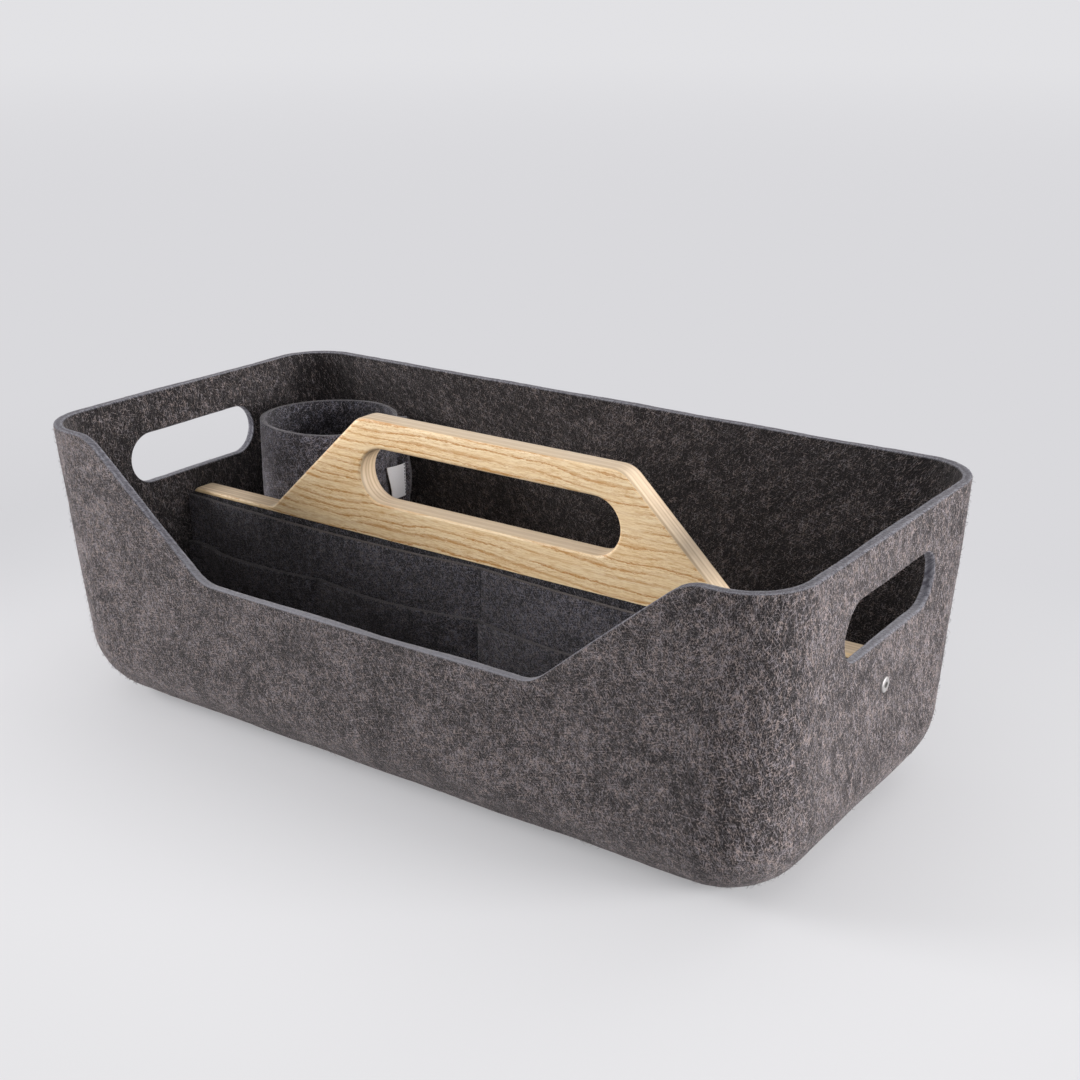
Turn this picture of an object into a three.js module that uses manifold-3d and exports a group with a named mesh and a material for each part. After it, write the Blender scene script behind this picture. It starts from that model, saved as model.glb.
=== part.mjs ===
// Desk caddy: a moulded felt tray, a plywood handle board screwed between its ends, a felt pocket
// divider hung from the board, and a felt pen cup that stands in the rear compartment.
// Millimetres. +X runs along the tray, -Y faces the low front wall and +Z is up. The origin is the
// middle of the footprint, on the surface that the tray stands on.

import * as THREE from "three";
import { mergeVertices } from "three/addons/utils/BufferGeometryUtils.js";
import Module from "manifold-3d";

const wasm = await Module();
wasm.setup();

// Clearances
const FIT_GAP = 0.3;
const THREAD_GAP = 0.15;
const CUT_OVERRUN = 10;

// Tray: outer sizes at the rim, and how far a wall comes in for each millimetre further down
const TRAY_LENGTH = 430;
const TRAY_WIDTH = 215;
const TRAY_HEIGHT = 150;
const TRAY_FELT = 5;
const END_DRAFT = 0.031;
const SIDE_DRAFT = 0.0487;
const RIM_CORNER_RADIUS = 30.6;
const FOOT_CORNER_RADIUS = 41.2;
const FOOT_FILLET = 35;
const FRONT_BOW = 3;

// Low front of the tray
const DIP_FLOOR = 87;
const DIP_FLOOR_WIDTH = 195.4;
const DIP_TOP_WIDTH = 344.4;
const DIP_FLOOR_FILLET = 18;
const DIP_RIM_FILLET = 22;

// Hand slots in the end walls
const HAND_SLOT_WIDTH = 93.4;
const HAND_SLOT_HEIGHT = 27.8;
const HAND_SLOT_Z = 114.7;

// Handle board
const BOARD_THICKNESS = 13;
const BOARD_ROUNDOVER = 2;
const RAIL_TOP = 91;
const RAIL_DEPTH = 29;
const RAIL_END_RADIUS = 6;
const RAIL_FOOT_RADIUS = 3;
const HANDLE_TOP = 152.6;
const HANDLE_TOP_WIDTH = 160.4;
const HANDLE_FOOT_WIDTH = 289.6;
const HANDLE_TOP_RADIUS = 14;
const HANDLE_FOOT_RADIUS = 9;
const GRIP_WIDTH = 159;
const GRIP_HEIGHT = 29;
const GRIP_Z = 122.4;
const REBATE_TOP = 88.5;

// Screws and inserts in the board's ends
const SCREW_BELOW_RAIL_TOP = 14.5;
const SCREW_LENGTH = 16;
const SCREW_RADIUS = 2;
const SCREW_HEAD_RADIUS = 4;
const SCREW_HEAD_HEIGHT = 1.4;
const SCREW_DRIVE_RADIUS = 1.5;
const SCREW_DRIVE_DEPTH = 0.8;
const INSERT_LENGTH = 13;
const INSERT_WALL = 1.3;
const INSERT_INSET = 0.5;

// Felt divider with its pockets
const DIVIDER_FELT = 3;
const DIVIDER_END_GAP = 0.6;
const TALL_POCKET_BELOW_REBATE = 1.5;
const LOW_POCKET_TOP = 60;
const TALL_POCKET_GAPE = 5.5;
const LOW_POCKET_GAPE = 6.5;
const FOOT_SEAM_ABOVE_FLOOR = 7;
const EDGE_SEAM_INSET = 4;
const BELLY_RUN_OUT = 24;

// Staples through the backing into the board
const STAPLE_COUNT = 6;
const STAPLE_END_INSET = 42;
const STAPLE_ABOVE_RAIL_FOOT = 4;
const STAPLE_WIDTH = 10;
const STAPLE_LEG = 7.5;
const STAPLE_WIRE = 0.7;

// Pen cup
const CUP_HEIGHT = 123;
const CUP_FELT = 3;
const CUP_FOOT_RADIUS = 22;
const CUP_BASE_UPSTAND = 3;
const CUP_BOARD_GAP = 2;
const CUP_BACK_GAP = 8.94;
const CUP_END_GAP = 17;
const FIN_ANGLE = 31;
const FIN_STAND = 5;
const FIN_STITCH_INSET = 2.5;
const TAG_HEIGHT = 18;
const TAG_WIDTH = 13;
const TAG_THICKNESS = 0.5;
const TAG_BELOW_RIM = 25;
const TAG_FIN_GAP = 0.6;

// Sewing thread
const THREAD = 0.7;

// How finely the curves are cut
const CORNER_STEPS = 8;
const FILLET_STEPS = 8;
const FRONT_STEPS = 12;
const ARC_STEPS = 5;
const BEVEL_STEPS = 2;
const ROUND_STEPS = 16;
const CUP_STEPS = 36;
const CUP_FOOT_STEPS = 6;
const DIVIDER_FILLET_STEPS = 5;
const POCKET_HALF_COLUMNS = 12;
const POCKET_UPRIGHT_COLUMNS = 9;
const POCKET_ROWS = 4;
const THREAD_STEPS = 5;

// Heights and depths that several pieces share
const FLOOR = TRAY_FELT;
const INNER_FILLET = FOOT_FILLET - TRAY_FELT;
const RAIL_FOOT = RAIL_TOP - RAIL_DEPTH;
const SCREW_Z = RAIL_TOP - SCREW_BELOW_RAIL_TOP;
const BOARD_FRONT = -BOARD_THICKNESS / 2;
const BOARD_BACK = BOARD_THICKNESS / 2;
const REBATE_FACE = BOARD_FRONT + DIVIDER_FELT + FIT_GAP;
const RAIL_MIDDLE_Y = (REBATE_FACE + BOARD_BACK) / 2;
const DIVIDER_FOOT = FLOOR + FIT_GAP;
const BACKING_TOP = REBATE_TOP - FIT_GAP;
const TALL_POCKET_TOP = REBATE_TOP - TALL_POCKET_BELOW_REBATE;
const FOOT_SEAM_Z = FLOOR + FOOT_SEAM_ABOVE_FLOOR;
const BELLY_FOOT_Z = FOOT_SEAM_Z + THREAD;
const STAPLE_Z = RAIL_FOOT + STAPLE_ABOVE_RAIL_FOOT;
const INSERT_RADIUS = SCREW_RADIUS + FIT_GAP + INSERT_WALL;
const END_LEAN = Math.atan(END_DRAFT);

const MATERIALS = {
  trayFelt: { color: 0x5d5a5b, roughness: 0.95, metalness: 0 },
  liningFelt: { color: 0x3d3e45, roughness: 0.95, metalness: 0 },
  thread: { color: 0x2b2b30, roughness: 0.8, metalness: 0 },
  wood: { color: 0xdfc294, roughness: 0.5, metalness: 0 },
  screw: { color: 0xc8c8c6, roughness: 0.35, metalness: 0.9 },
  insert: { color: 0xb59a55, roughness: 0.35, metalness: 0.9 },
  staple: { color: 0xa9abae, roughness: 0.4, metalness: 0.9 },
  tag: { color: 0xe9e6ea, roughness: 0.8, metalness: 0 },
};

const group = new THREE.Group();

function addPiece(name, geometry, material, parent = group) {
  const mesh = new THREE.Mesh(geometry, new THREE.MeshStandardMaterial(MATERIALS[material]));
  mesh.name = name;
  parent.add(mesh);
  return mesh;
}

// Solids for cutting and joining

function toSolid(geometry) {
  const bare = geometry.clone();
  bare.deleteAttribute("normal");
  bare.deleteAttribute("uv");
  const merged = mergeVertices(bare);
  return new wasm.Manifold(new wasm.Mesh({
    numProp: 3,
    vertProperties: new Float32Array(merged.attributes.position.array),
    triVerts: new Uint32Array(merged.index.array),
  }));
}

function toGeometry(solid) {
  const mesh = solid.getMesh();
  const geometry = new THREE.BufferGeometry();
  geometry.setAttribute("position", new THREE.BufferAttribute(mesh.vertProperties, 3));
  geometry.setIndex(new THREE.BufferAttribute(mesh.triVerts, 1));
  return geometry;
}

function cut(geometry, tools) {
  let solid = toSolid(geometry);
  for (const tool of tools) {
    solid = solid.subtract(toSolid(tool));
  }
  return toGeometry(solid);
}

function join(geometries) {
  let solid = toSolid(geometries[0]);
  for (const geometry of geometries.slice(1)) {
    solid = solid.add(toSolid(geometry));
  }
  return toGeometry(solid);
}

// Shapes and plates

function filletedShape(corners) {
  const shape = new THREE.Shape();
  const points = corners.map(([x, y]) => new THREE.Vector2(x, y));
  corners.forEach(([, , radius], i) => {
    const corner = points[i];
    const toBefore = points.at(i - 1).clone().sub(corner).normalize();
    const toAfter = points[(i + 1) % points.length].clone().sub(corner).normalize();
    const halfAngle = Math.acos(toBefore.dot(toAfter)) / 2;
    const start = corner.clone().addScaledVector(toBefore, radius / Math.tan(halfAngle));
    if (i === 0) {
      shape.moveTo(start.x, start.y);
    } else {
      shape.lineTo(start.x, start.y);
    }
    if (radius > 0) {
      const end = corner.clone().addScaledVector(toAfter, radius / Math.tan(halfAngle));
      const inward = toBefore.clone().add(toAfter).normalize();
      const centre = corner.clone().addScaledVector(inward, radius / Math.sin(halfAngle));
      const clockwise = toBefore.cross(toAfter) > 0;
      const startAngle = Math.atan2(start.y - centre.y, start.x - centre.x);
      const endAngle = Math.atan2(end.y - centre.y, end.x - centre.x);
      shape.absarc(centre.x, centre.y, radius, startAngle, endAngle, clockwise);
    }
  });
  return shape;
}

function stadium(path, x, y, width, height) {
  const radius = height / 2;
  const reach = width / 2 - radius;
  path.moveTo(x - reach, y - radius);
  path.lineTo(x + reach, y - radius);
  path.absarc(x + reach, y, radius, -Math.PI / 2, Math.PI / 2, false);
  path.lineTo(x - reach, y + radius);
  path.absarc(x - reach, y, radius, Math.PI / 2, Math.PI * 1.5, false);
  return path;
}

// A plate whose outline is drawn in X and Z, from one Y to another
function uprightPlate(shape, front, back, bevel = 0) {
  const geometry = new THREE.ExtrudeGeometry(shape, {
    depth: back - front - 2 * bevel,
    curveSegments: ARC_STEPS,
    bevelEnabled: bevel > 0,
    bevelThickness: bevel,
    bevelSize: bevel,
    bevelOffset: -bevel,
    bevelSegments: BEVEL_STEPS,
  });
  return geometry.rotateX(Math.PI / 2).translate(0, back - bevel, 0);
}

// A prism whose outline is drawn in X and Y, from one Z to another
function levelPlate(shape, bottom, top, steps = ARC_STEPS) {
  const geometry = new THREE.ExtrudeGeometry(shape, {
    depth: top - bottom,
    curveSegments: steps,
    bevelEnabled: false,
  });
  return geometry.translate(0, 0, bottom);
}

// A prism whose outline is drawn in Y and Z, from one X to another
function sidePlate(shape, left, right) {
  const geometry = new THREE.ExtrudeGeometry(shape, {
    depth: right - left,
    curveSegments: ARC_STEPS,
    bevelEnabled: false,
  });
  const toYZ = new THREE.Matrix4().makeBasis(
    new THREE.Vector3(0, 1, 0),
    new THREE.Vector3(0, 0, 1),
    new THREE.Vector3(1, 0, 0),
  );
  return geometry.applyMatrix4(toYZ).translate(left, 0, 0);
}

function boxBetween(low, high) {
  const size = high.map((value, axis) => value - low[axis]);
  const middle = high.map((value, axis) => (value + low[axis]) / 2);
  return new THREE.BoxGeometry(...size).translate(...middle);
}

function meshFrom(points, triangles) {
  const geometry = new THREE.BufferGeometry();
  geometry.setAttribute("position", new THREE.Float32BufferAttribute(points.flat(), 3));
  geometry.setIndex(triangles.flat());
  return geometry;
}

// Tray walls: half sizes at a height, outside or inside

function halfLength(z, inset = 0) {
  return TRAY_LENGTH / 2 - END_DRAFT * (TRAY_HEIGHT - z) - inset;
}

function halfWidth(z, inset = 0) {
  return TRAY_WIDTH / 2 - SIDE_DRAFT * (TRAY_HEIGHT - z) - inset;
}

// The foot fillet of the tray, from where it leaves the floor to where it meets the wall
function filletSteps(floor, radius, steps) {
  return Array.from({ length: steps + 1 }, (unused, i) => {
    const angle = (Math.PI / 2) * (i / steps);
    return { z: floor + radius * (1 - Math.cos(angle)), inset: radius * (1 - Math.sin(angle)) };
  });
}

// One level outline of the tray, with the front wall bowed out a little in its middle
function trayRing(z, inset) {
  const rise = z / TRAY_HEIGHT;
  const length = halfLength(z, inset);
  const width = halfWidth(z, inset);
  const corner = FOOT_CORNER_RADIUS + (RIM_CORNER_RADIUS - FOOT_CORNER_RADIUS) * rise;
  const radius = Math.max(corner - inset, 1);
  const ring = [];
  const quarters = [[1, 1, 0], [-1, 1, 1], [-1, -1, 2], [1, -1, 3]];
  for (const [sideX, sideY, quarter] of quarters) {
    for (let i = 0; i <= CORNER_STEPS; i += 1) {
      const angle = (Math.PI / 2) * (quarter + i / CORNER_STEPS);
      const x = sideX * (length - radius) + radius * Math.cos(angle);
      const y = sideY * (width - radius) + radius * Math.sin(angle);
      ring.push([x, y, z]);
    }
    if (quarter === 2) {
      const straight = length - radius;
      for (let i = 1; i < FRONT_STEPS; i += 1) {
        const along = (2 * i) / FRONT_STEPS - 1;
        ring.push([along * straight, -width - FRONT_BOW * rise * (1 - along ** 2) ** 2, z]);
      }
    }
  }
  return ring;
}

// A closed body through level rings with the same number of points
function loft(rings) {
  const count = rings[0].length;
  const points = rings.flat();
  const triangles = [];
  for (let level = 0; level < rings.length - 1; level += 1) {
    for (let i = 0; i < count; i += 1) {
      const here = level * count + i;
      const next = level * count + ((i + 1) % count);
      triangles.push([here, next, next + count], [here, next + count, here + count]);
    }
  }
  const foot = points.push([0, 0, rings[0][0][2]]) - 1;
  const head = points.push([0, 0, rings.at(-1)[0][2]]) - 1;
  const last = (rings.length - 1) * count;
  for (let i = 0; i < count; i += 1) {
    const next = (i + 1) % count;
    triangles.push([foot, next, i], [head, last + i, last + next]);
  }
  return meshFrom(points, triangles);
}

function trayBody(felt, top) {
  const steps = filletSteps(felt, FOOT_FILLET - felt, FILLET_STEPS);
  const rings = steps.map(({ z, inset }) => trayRing(z, inset + felt));
  rings.push(trayRing(top, felt));
  return loft(rings);
}

function dipCutter() {
  const floorHalf = DIP_FLOOR_WIDTH / 2;
  const topHalf = DIP_TOP_WIDTH / 2;
  const above = TRAY_HEIGHT + CUT_OVERRUN;
  const outline = filletedShape([
    [-floorHalf, DIP_FLOOR, DIP_FLOOR_FILLET],
    [floorHalf, DIP_FLOOR, DIP_FLOOR_FILLET],
    [topHalf, TRAY_HEIGHT, DIP_RIM_FILLET],
    [topHalf + 2 * CUT_OVERRUN, TRAY_HEIGHT, 0],
    [topHalf + 2 * CUT_OVERRUN, above, 0],
    [-topHalf - 2 * CUT_OVERRUN, above, 0],
    [-topHalf - 2 * CUT_OVERRUN, TRAY_HEIGHT, 0],
    [-topHalf, TRAY_HEIGHT, DIP_RIM_FILLET],
  ]);
  const outside = -TRAY_WIDTH / 2 - CUT_OVERRUN;
  const inside = -halfWidth(DIP_FLOOR, TRAY_FELT) + CUT_OVERRUN;
  return uprightPlate(outline, outside, inside);
}

function handSlotCutter(side) {
  const outline = stadium(new THREE.Shape(), 0, HAND_SLOT_Z, HAND_SLOT_WIDTH, HAND_SLOT_HEIGHT);
  const inside = halfLength(HAND_SLOT_Z, TRAY_FELT) - CUT_OVERRUN;
  const outside = TRAY_LENGTH / 2 + CUT_OVERRUN;
  return side > 0 ? sidePlate(outline, inside, outside) : sidePlate(outline, -outside, -inside);
}

// Where a screw's axis meets the outside of an end wall, with local +X square out of the wall
function screwPlace(side) {
  const place = new THREE.Matrix4().makeRotationZ(side > 0 ? 0 : Math.PI);
  place.multiply(new THREE.Matrix4().makeRotationY(END_LEAN));
  place.setPosition(side * halfLength(SCREW_Z), RAIL_MIDDLE_Y, SCREW_Z);
  return place;
}

// A round bar along local X, for boring
function boreCutter(side, radius, inner, outer) {
  const bar = new THREE.CylinderGeometry(radius, radius, outer - inner, ROUND_STEPS);
  bar.rotateZ(-Math.PI / 2).translate((outer + inner) / 2, 0, 0);
  return bar.applyMatrix4(screwPlace(side));
}

function feltTray() {
  const cutters = [trayBody(TRAY_FELT, TRAY_HEIGHT + CUT_OVERRUN), dipCutter()];
  for (const side of [1, -1]) {
    cutters.push(handSlotCutter(side));
    cutters.push(boreCutter(side, SCREW_RADIUS + FIT_GAP, -TRAY_FELT - CUT_OVERRUN, CUT_OVERRUN));
  }
  return cut(trayBody(0, TRAY_HEIGHT), cutters);
}

// Handle board

function railHalf(z) {
  return halfLength(z, TRAY_FELT) - FIT_GAP;
}

function boardOutline() {
  const footHalf = HANDLE_FOOT_WIDTH / 2;
  const topHalf = HANDLE_TOP_WIDTH / 2;
  const outline = filletedShape([
    [-railHalf(RAIL_FOOT), RAIL_FOOT, RAIL_FOOT_RADIUS],
    [railHalf(RAIL_FOOT), RAIL_FOOT, RAIL_FOOT_RADIUS],
    [railHalf(RAIL_TOP), RAIL_TOP, RAIL_END_RADIUS],
    [footHalf, RAIL_TOP, HANDLE_FOOT_RADIUS],
    [topHalf, HANDLE_TOP, HANDLE_TOP_RADIUS],
    [-topHalf, HANDLE_TOP, HANDLE_TOP_RADIUS],
    [-footHalf, RAIL_TOP, HANDLE_FOOT_RADIUS],
    [-railHalf(RAIL_TOP), RAIL_TOP, RAIL_END_RADIUS],
  ]);
  outline.holes.push(stadium(new THREE.Path(), 0, GRIP_Z, GRIP_WIDTH, GRIP_HEIGHT));
  return outline;
}

function stapleX(index) {
  const reach = railHalf(RAIL_FOOT) - STAPLE_END_INSET;
  return reach * ((2 * index) / (STAPLE_COUNT - 1) - 1);
}

// The two leg holes of each staple, through whatever the legs pass
function stapleHoleCutters() {
  const reach = STAPLE_WIRE / 2 + FIT_GAP;
  const cutters = [];
  for (let i = 0; i < STAPLE_COUNT; i += 1) {
    for (const side of [1, -1]) {
      const x = stapleX(i) + side * (STAPLE_WIDTH - STAPLE_WIRE) / 2;
      const front = BOARD_FRONT - FIT_GAP;
      const back = BOARD_FRONT + STAPLE_LEG + FIT_GAP;
      cutters.push(boxBetween(
        [x - reach, front, STAPLE_Z - reach],
        [x + reach, back, STAPLE_Z + reach],
      ));
    }
  }
  return cutters;
}

function handleBoard() {
  const railEnd = railHalf(RAIL_TOP) + CUT_OVERRUN;
  const rebate = boxBetween(
    [-railEnd, BOARD_FRONT - CUT_OVERRUN, RAIL_FOOT - CUT_OVERRUN],
    [railEnd, REBATE_FACE, REBATE_TOP],
  );
  const cutters = [rebate, ...stapleHoleCutters()];
  const boreDepth = TRAY_FELT + INSERT_INSET + INSERT_LENGTH + 2 * FIT_GAP;
  for (const side of [1, -1]) {
    cutters.push(boreCutter(side, INSERT_RADIUS + FIT_GAP, -boreDepth, 0));
  }
  return cut(uprightPlate(boardOutline(), BOARD_FRONT, BOARD_BACK, BOARD_ROUNDOVER), cutters);
}

// Screws and inserts, turned about local X

function turned(profile) {
  const points = profile.map(([radius, x]) => new THREE.Vector2(radius, x));
  return new THREE.LatheGeometry(points, ROUND_STEPS).rotateZ(-Math.PI / 2);
}

function screw() {
  const seat = THREAD_GAP;
  const top = seat + SCREW_HEAD_HEIGHT;
  const chamfer = SCREW_HEAD_HEIGHT / 4;
  return turned([
    [0, seat - SCREW_LENGTH],
    [SCREW_RADIUS, seat - SCREW_LENGTH],
    [SCREW_RADIUS, seat],
    [SCREW_HEAD_RADIUS, seat],
    [SCREW_HEAD_RADIUS, top - chamfer],
    [SCREW_HEAD_RADIUS - chamfer, top],
    [SCREW_DRIVE_RADIUS, top],
    [SCREW_DRIVE_RADIUS, top - SCREW_DRIVE_DEPTH],
    [0, top - SCREW_DRIVE_DEPTH],
  ]);
}

function insert() {
  const mouth = -(TRAY_FELT + FIT_GAP + INSERT_INSET);
  const bore = SCREW_RADIUS + FIT_GAP;
  return turned([
    [bore, mouth - INSERT_LENGTH],
    [INSERT_RADIUS, mouth - INSERT_LENGTH],
    [INSERT_RADIUS, mouth],
    [bore, mouth],
    [bore, mouth - INSERT_LENGTH],
  ]);
}

// Divider: the felt sheets follow the inside of the tray's ends

function dividerReach(z) {
  const above = Math.max(z - FLOOR - FIT_GAP, 0);
  const climb = Math.min(above, INNER_FILLET);
  const inset = INNER_FILLET - Math.sqrt(climb * (2 * INNER_FILLET - climb));
  return halfLength(z, TRAY_FELT) - inset - DIVIDER_END_GAP;
}

function dividerRows(top) {
  const curved = filletSteps(DIVIDER_FOOT, INNER_FILLET, DIVIDER_FILLET_STEPS).map(({ z }) => z);
  const start = curved.at(-1);
  const straight = Array.from({ length: POCKET_ROWS }, (unused, i) => (
    start + (top - start) * ((i + 1) / POCKET_ROWS)
  ));
  return [...curved, BELLY_FOOT_Z, ...straight].sort((a, b) => a - b);
}

function backing() {
  const edge = dividerRows(BACKING_TOP).map((z) => new THREE.Vector2(dividerReach(z), z));
  const mirrored = edge.map(({ x, y }) => new THREE.Vector2(-x, y)).reverse();
  const outline = new THREE.Shape([...edge, ...mirrored]);
  const plate = uprightPlate(outline, BOARD_FRONT, BOARD_FRONT + DIVIDER_FELT);
  return cut(plate, stapleHoleCutters());
}

// Where the pocket seams run, and how far a pocket bellies out between them

const POCKET_HALF = dividerReach(TALL_POCKET_TOP);
const LOW_SEAM_X = POCKET_HALF / 2;

// Where the strip that is sewn down at each end begins
function sewnEdge(z) {
  return dividerReach(z) - 2 * EDGE_SEAM_INSET;
}

function belly(x, z, pitch, top) {
  const rise = THREE.MathUtils.clamp((z - BELLY_FOOT_Z) / (top - BELLY_FOOT_Z), 0, 1);
  const free = THREE.MathUtils.smoothstep(sewnEdge(z) - Math.abs(x), 0, BELLY_RUN_OUT);
  return free * Math.abs(Math.sin((Math.PI * x) / pitch)) * Math.sin((Math.PI / 2) * rise);
}

function tallBack(x, z) {
  return BOARD_FRONT - FIT_GAP - TALL_POCKET_GAPE * belly(x, z, POCKET_HALF, TALL_POCKET_TOP);
}

function lowBack(x, z) {
  const tallFront = tallBack(x, z) - DIVIDER_FELT;
  return tallFront - FIT_GAP - LOW_POCKET_GAPE * belly(x, z, LOW_SEAM_X, LOW_POCKET_TOP);
}

// Columns of a pocket sheet: upright in the middle, so that some lie on the seams, and drawn in with
// the tray's fillet towards each end, where the last strip is the one that is sewn down
function columnX(index, z) {
  const side = Math.sign(index);
  const column = Math.abs(index);
  const upright = POCKET_HALF * (POCKET_UPRIGHT_COLUMNS / POCKET_HALF_COLUMNS);
  if (column <= POCKET_UPRIGHT_COLUMNS) {
    return POCKET_HALF * (index / POCKET_HALF_COLUMNS);
  }
  if (column === POCKET_HALF_COLUMNS) {
    return side * dividerReach(z);
  }
  const drawnIn = POCKET_HALF_COLUMNS - 1 - POCKET_UPRIGHT_COLUMNS;
  const share = (column - POCKET_UPRIGHT_COLUMNS) / drawnIn;
  return side * (upright + share * (sewnEdge(z) - upright));
}

// A felt sheet of even thickness in front of a back surface, over the divider's outline
function pocketSheet(back, top) {
  const rows = dividerRows(top);
  const strips = 2 * POCKET_HALF_COLUMNS;
  const columns = strips + 1;
  const points = [];
  for (const depth of [0, DIVIDER_FELT]) {
    for (const z of rows) {
      for (let i = 0; i < columns; i += 1) {
        const x = columnX(i - POCKET_HALF_COLUMNS, z);
        points.push([x, back(x, z) - depth, z]);
      }
    }
  }
  const layer = rows.length * columns;
  const triangles = [];
  const quad = (a, b, c, d) => triangles.push([a, b, c], [a, c, d]);
  const at = (row, column, side) => side * layer + row * columns + column;
  for (let row = 0; row < rows.length - 1; row += 1) {
    for (let i = 0; i < strips; i += 1) {
      quad(at(row, i, 1), at(row, i + 1, 1), at(row + 1, i + 1, 1), at(row + 1, i, 1));
      quad(at(row, i, 0), at(row + 1, i, 0), at(row + 1, i + 1, 0), at(row, i + 1, 0));
    }
    quad(at(row, strips, 1), at(row, strips, 0), at(row + 1, strips, 0), at(row + 1, strips, 1));
    quad(at(row, 0, 0), at(row, 0, 1), at(row + 1, 0, 1), at(row + 1, 0, 0));
  }
  const last = rows.length - 1;
  for (let i = 0; i < strips; i += 1) {
    quad(at(0, i, 0), at(0, i + 1, 0), at(0, i + 1, 1), at(0, i, 1));
    quad(at(last, i, 1), at(last, i + 1, 1), at(last, i + 1, 0), at(last, i, 0));
  }
  return meshFrom(points, triangles);
}

// A run of sewing thread: square bars from point to point, joined into one body
function threadAlong(points) {
  const bars = points.slice(1).map((end, i) => {
    const from = new THREE.Vector3(...points[i]);
    const span = new THREE.Vector3(...end).sub(from);
    const length = span.length() + THREAD;
    const middle = from.clone().addScaledVector(span, 0.5);
    const bar = new THREE.BoxGeometry(length, THREAD, THREAD);
    const turn = new THREE.Quaternion().setFromUnitVectors(
      new THREE.Vector3(1, 0, 0),
      span.normalize(),
    );
    return bar.applyQuaternion(turn).translate(middle.x, middle.y, middle.z);
  });
  return join(bars);
}

// Middle of a thread that lies on the front of a pocket sheet
function onLow(x, z) {
  return [x, lowBack(x, z) - DIVIDER_FELT - THREAD_GAP - THREAD / 2, z];
}

function onTall(x, z) {
  return [x, tallBack(x, z) - DIVIDER_FELT - THREAD_GAP - THREAD / 2, z];
}

function climbSteps(from, to) {
  return Array.from({ length: THREAD_STEPS + 1 }, (unused, i) => (
    from + (to - from) * (i / THREAD_STEPS)
  ));
}

// Just above the low pocket's top edge, where a thread steps back to the tall pocket
const STEP_Z = LOW_POCKET_TOP + THREAD_GAP + THREAD / 2;

function centreThread() {
  const low = climbSteps(FOOT_SEAM_Z + 2 * THREAD, STEP_Z).map((z) => [0, onLow(0, 0)[1], z]);
  const tall = climbSteps(STEP_Z, TALL_POCKET_TOP - THREAD).map((z) => [0, onTall(0, 0)[1], z]);
  return threadAlong([...low, ...tall]);
}

function lowSeamThread(side) {
  const x = side * LOW_SEAM_X;
  return threadAlong(climbSteps(FOOT_SEAM_Z + 2 * THREAD, LOW_POCKET_TOP).map((z) => onLow(x, z)));
}

// Up one end, as far in from the sheet's edge at every height as the seam is
function edgeClimb(side) {
  const seamX = (z) => side * (dividerReach(z) - EDGE_SEAM_INSET);
  const low = climbSteps(FOOT_SEAM_Z, LOW_POCKET_TOP).map((z) => onLow(seamX(z), z));
  const front = onLow(seamX(LOW_POCKET_TOP), LOW_POCKET_TOP)[1];
  const step = [seamX(STEP_Z), front, STEP_Z];
  const tall = climbSteps(STEP_Z, TALL_POCKET_TOP - THREAD).map((z) => onTall(seamX(z), z));
  return [...low, step, ...tall];
}

function edgeThread() {
  return threadAlong([...edgeClimb(-1).reverse(), ...edgeClimb(1)]);
}

function staple(index) {
  const x = stapleX(index);
  const outerHalf = STAPLE_WIDTH / 2;
  const crown = BOARD_FRONT - THREAD_GAP;
  const outline = new THREE.Shape();
  outline.moveTo(x - outerHalf, crown - STAPLE_WIRE);
  outline.lineTo(x + outerHalf, crown - STAPLE_WIRE);
  outline.lineTo(x + outerHalf, BOARD_FRONT + STAPLE_LEG);
  outline.lineTo(x + outerHalf - STAPLE_WIRE, BOARD_FRONT + STAPLE_LEG);
  outline.lineTo(x + outerHalf - STAPLE_WIRE, crown);
  outline.lineTo(x - outerHalf + STAPLE_WIRE, crown);
  outline.lineTo(x - outerHalf + STAPLE_WIRE, BOARD_FRONT + STAPLE_LEG);
  outline.lineTo(x - outerHalf, BOARD_FRONT + STAPLE_LEG);
  return levelPlate(outline, STAPLE_Z - STAPLE_WIRE / 2, STAPLE_Z + STAPLE_WIRE / 2);
}

// Pen cup, about its own axis with the foot at zero. It is as wide as the rear compartment allows.

const CUP_RADIUS = (halfWidth(FLOOR, TRAY_FELT) - CUP_BACK_GAP - BOARD_BACK - CUP_BOARD_GAP) / 2;
const CUP_JOIN_Z = CUP_FOOT_RADIUS + CUP_BASE_UPSTAND;
const CUP_INNER = CUP_RADIUS - CUP_FELT;
const FIN_TURN = THREE.MathUtils.degToRad(FIN_ANGLE);

function cupSleeve() {
  const ring = new THREE.Shape();
  ring.absarc(0, 0, CUP_RADIUS, 0, Math.PI * 2, false);
  const bore = new THREE.Path();
  bore.absarc(0, 0, CUP_INNER, 0, Math.PI * 2, true);
  ring.holes.push(bore);
  const bottom = CUP_JOIN_Z + FIT_GAP;
  const wall = levelPlate(ring, bottom, CUP_HEIGHT, CUP_STEPS / 2);
  const fin = boxBetween(
    [CUP_RADIUS - CUP_FELT / 2, -CUP_FELT, bottom],
    [CUP_RADIUS + FIN_STAND, CUP_FELT, CUP_HEIGHT],
  );
  return join([wall, fin.rotateZ(FIN_TURN)]);
}

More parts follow.
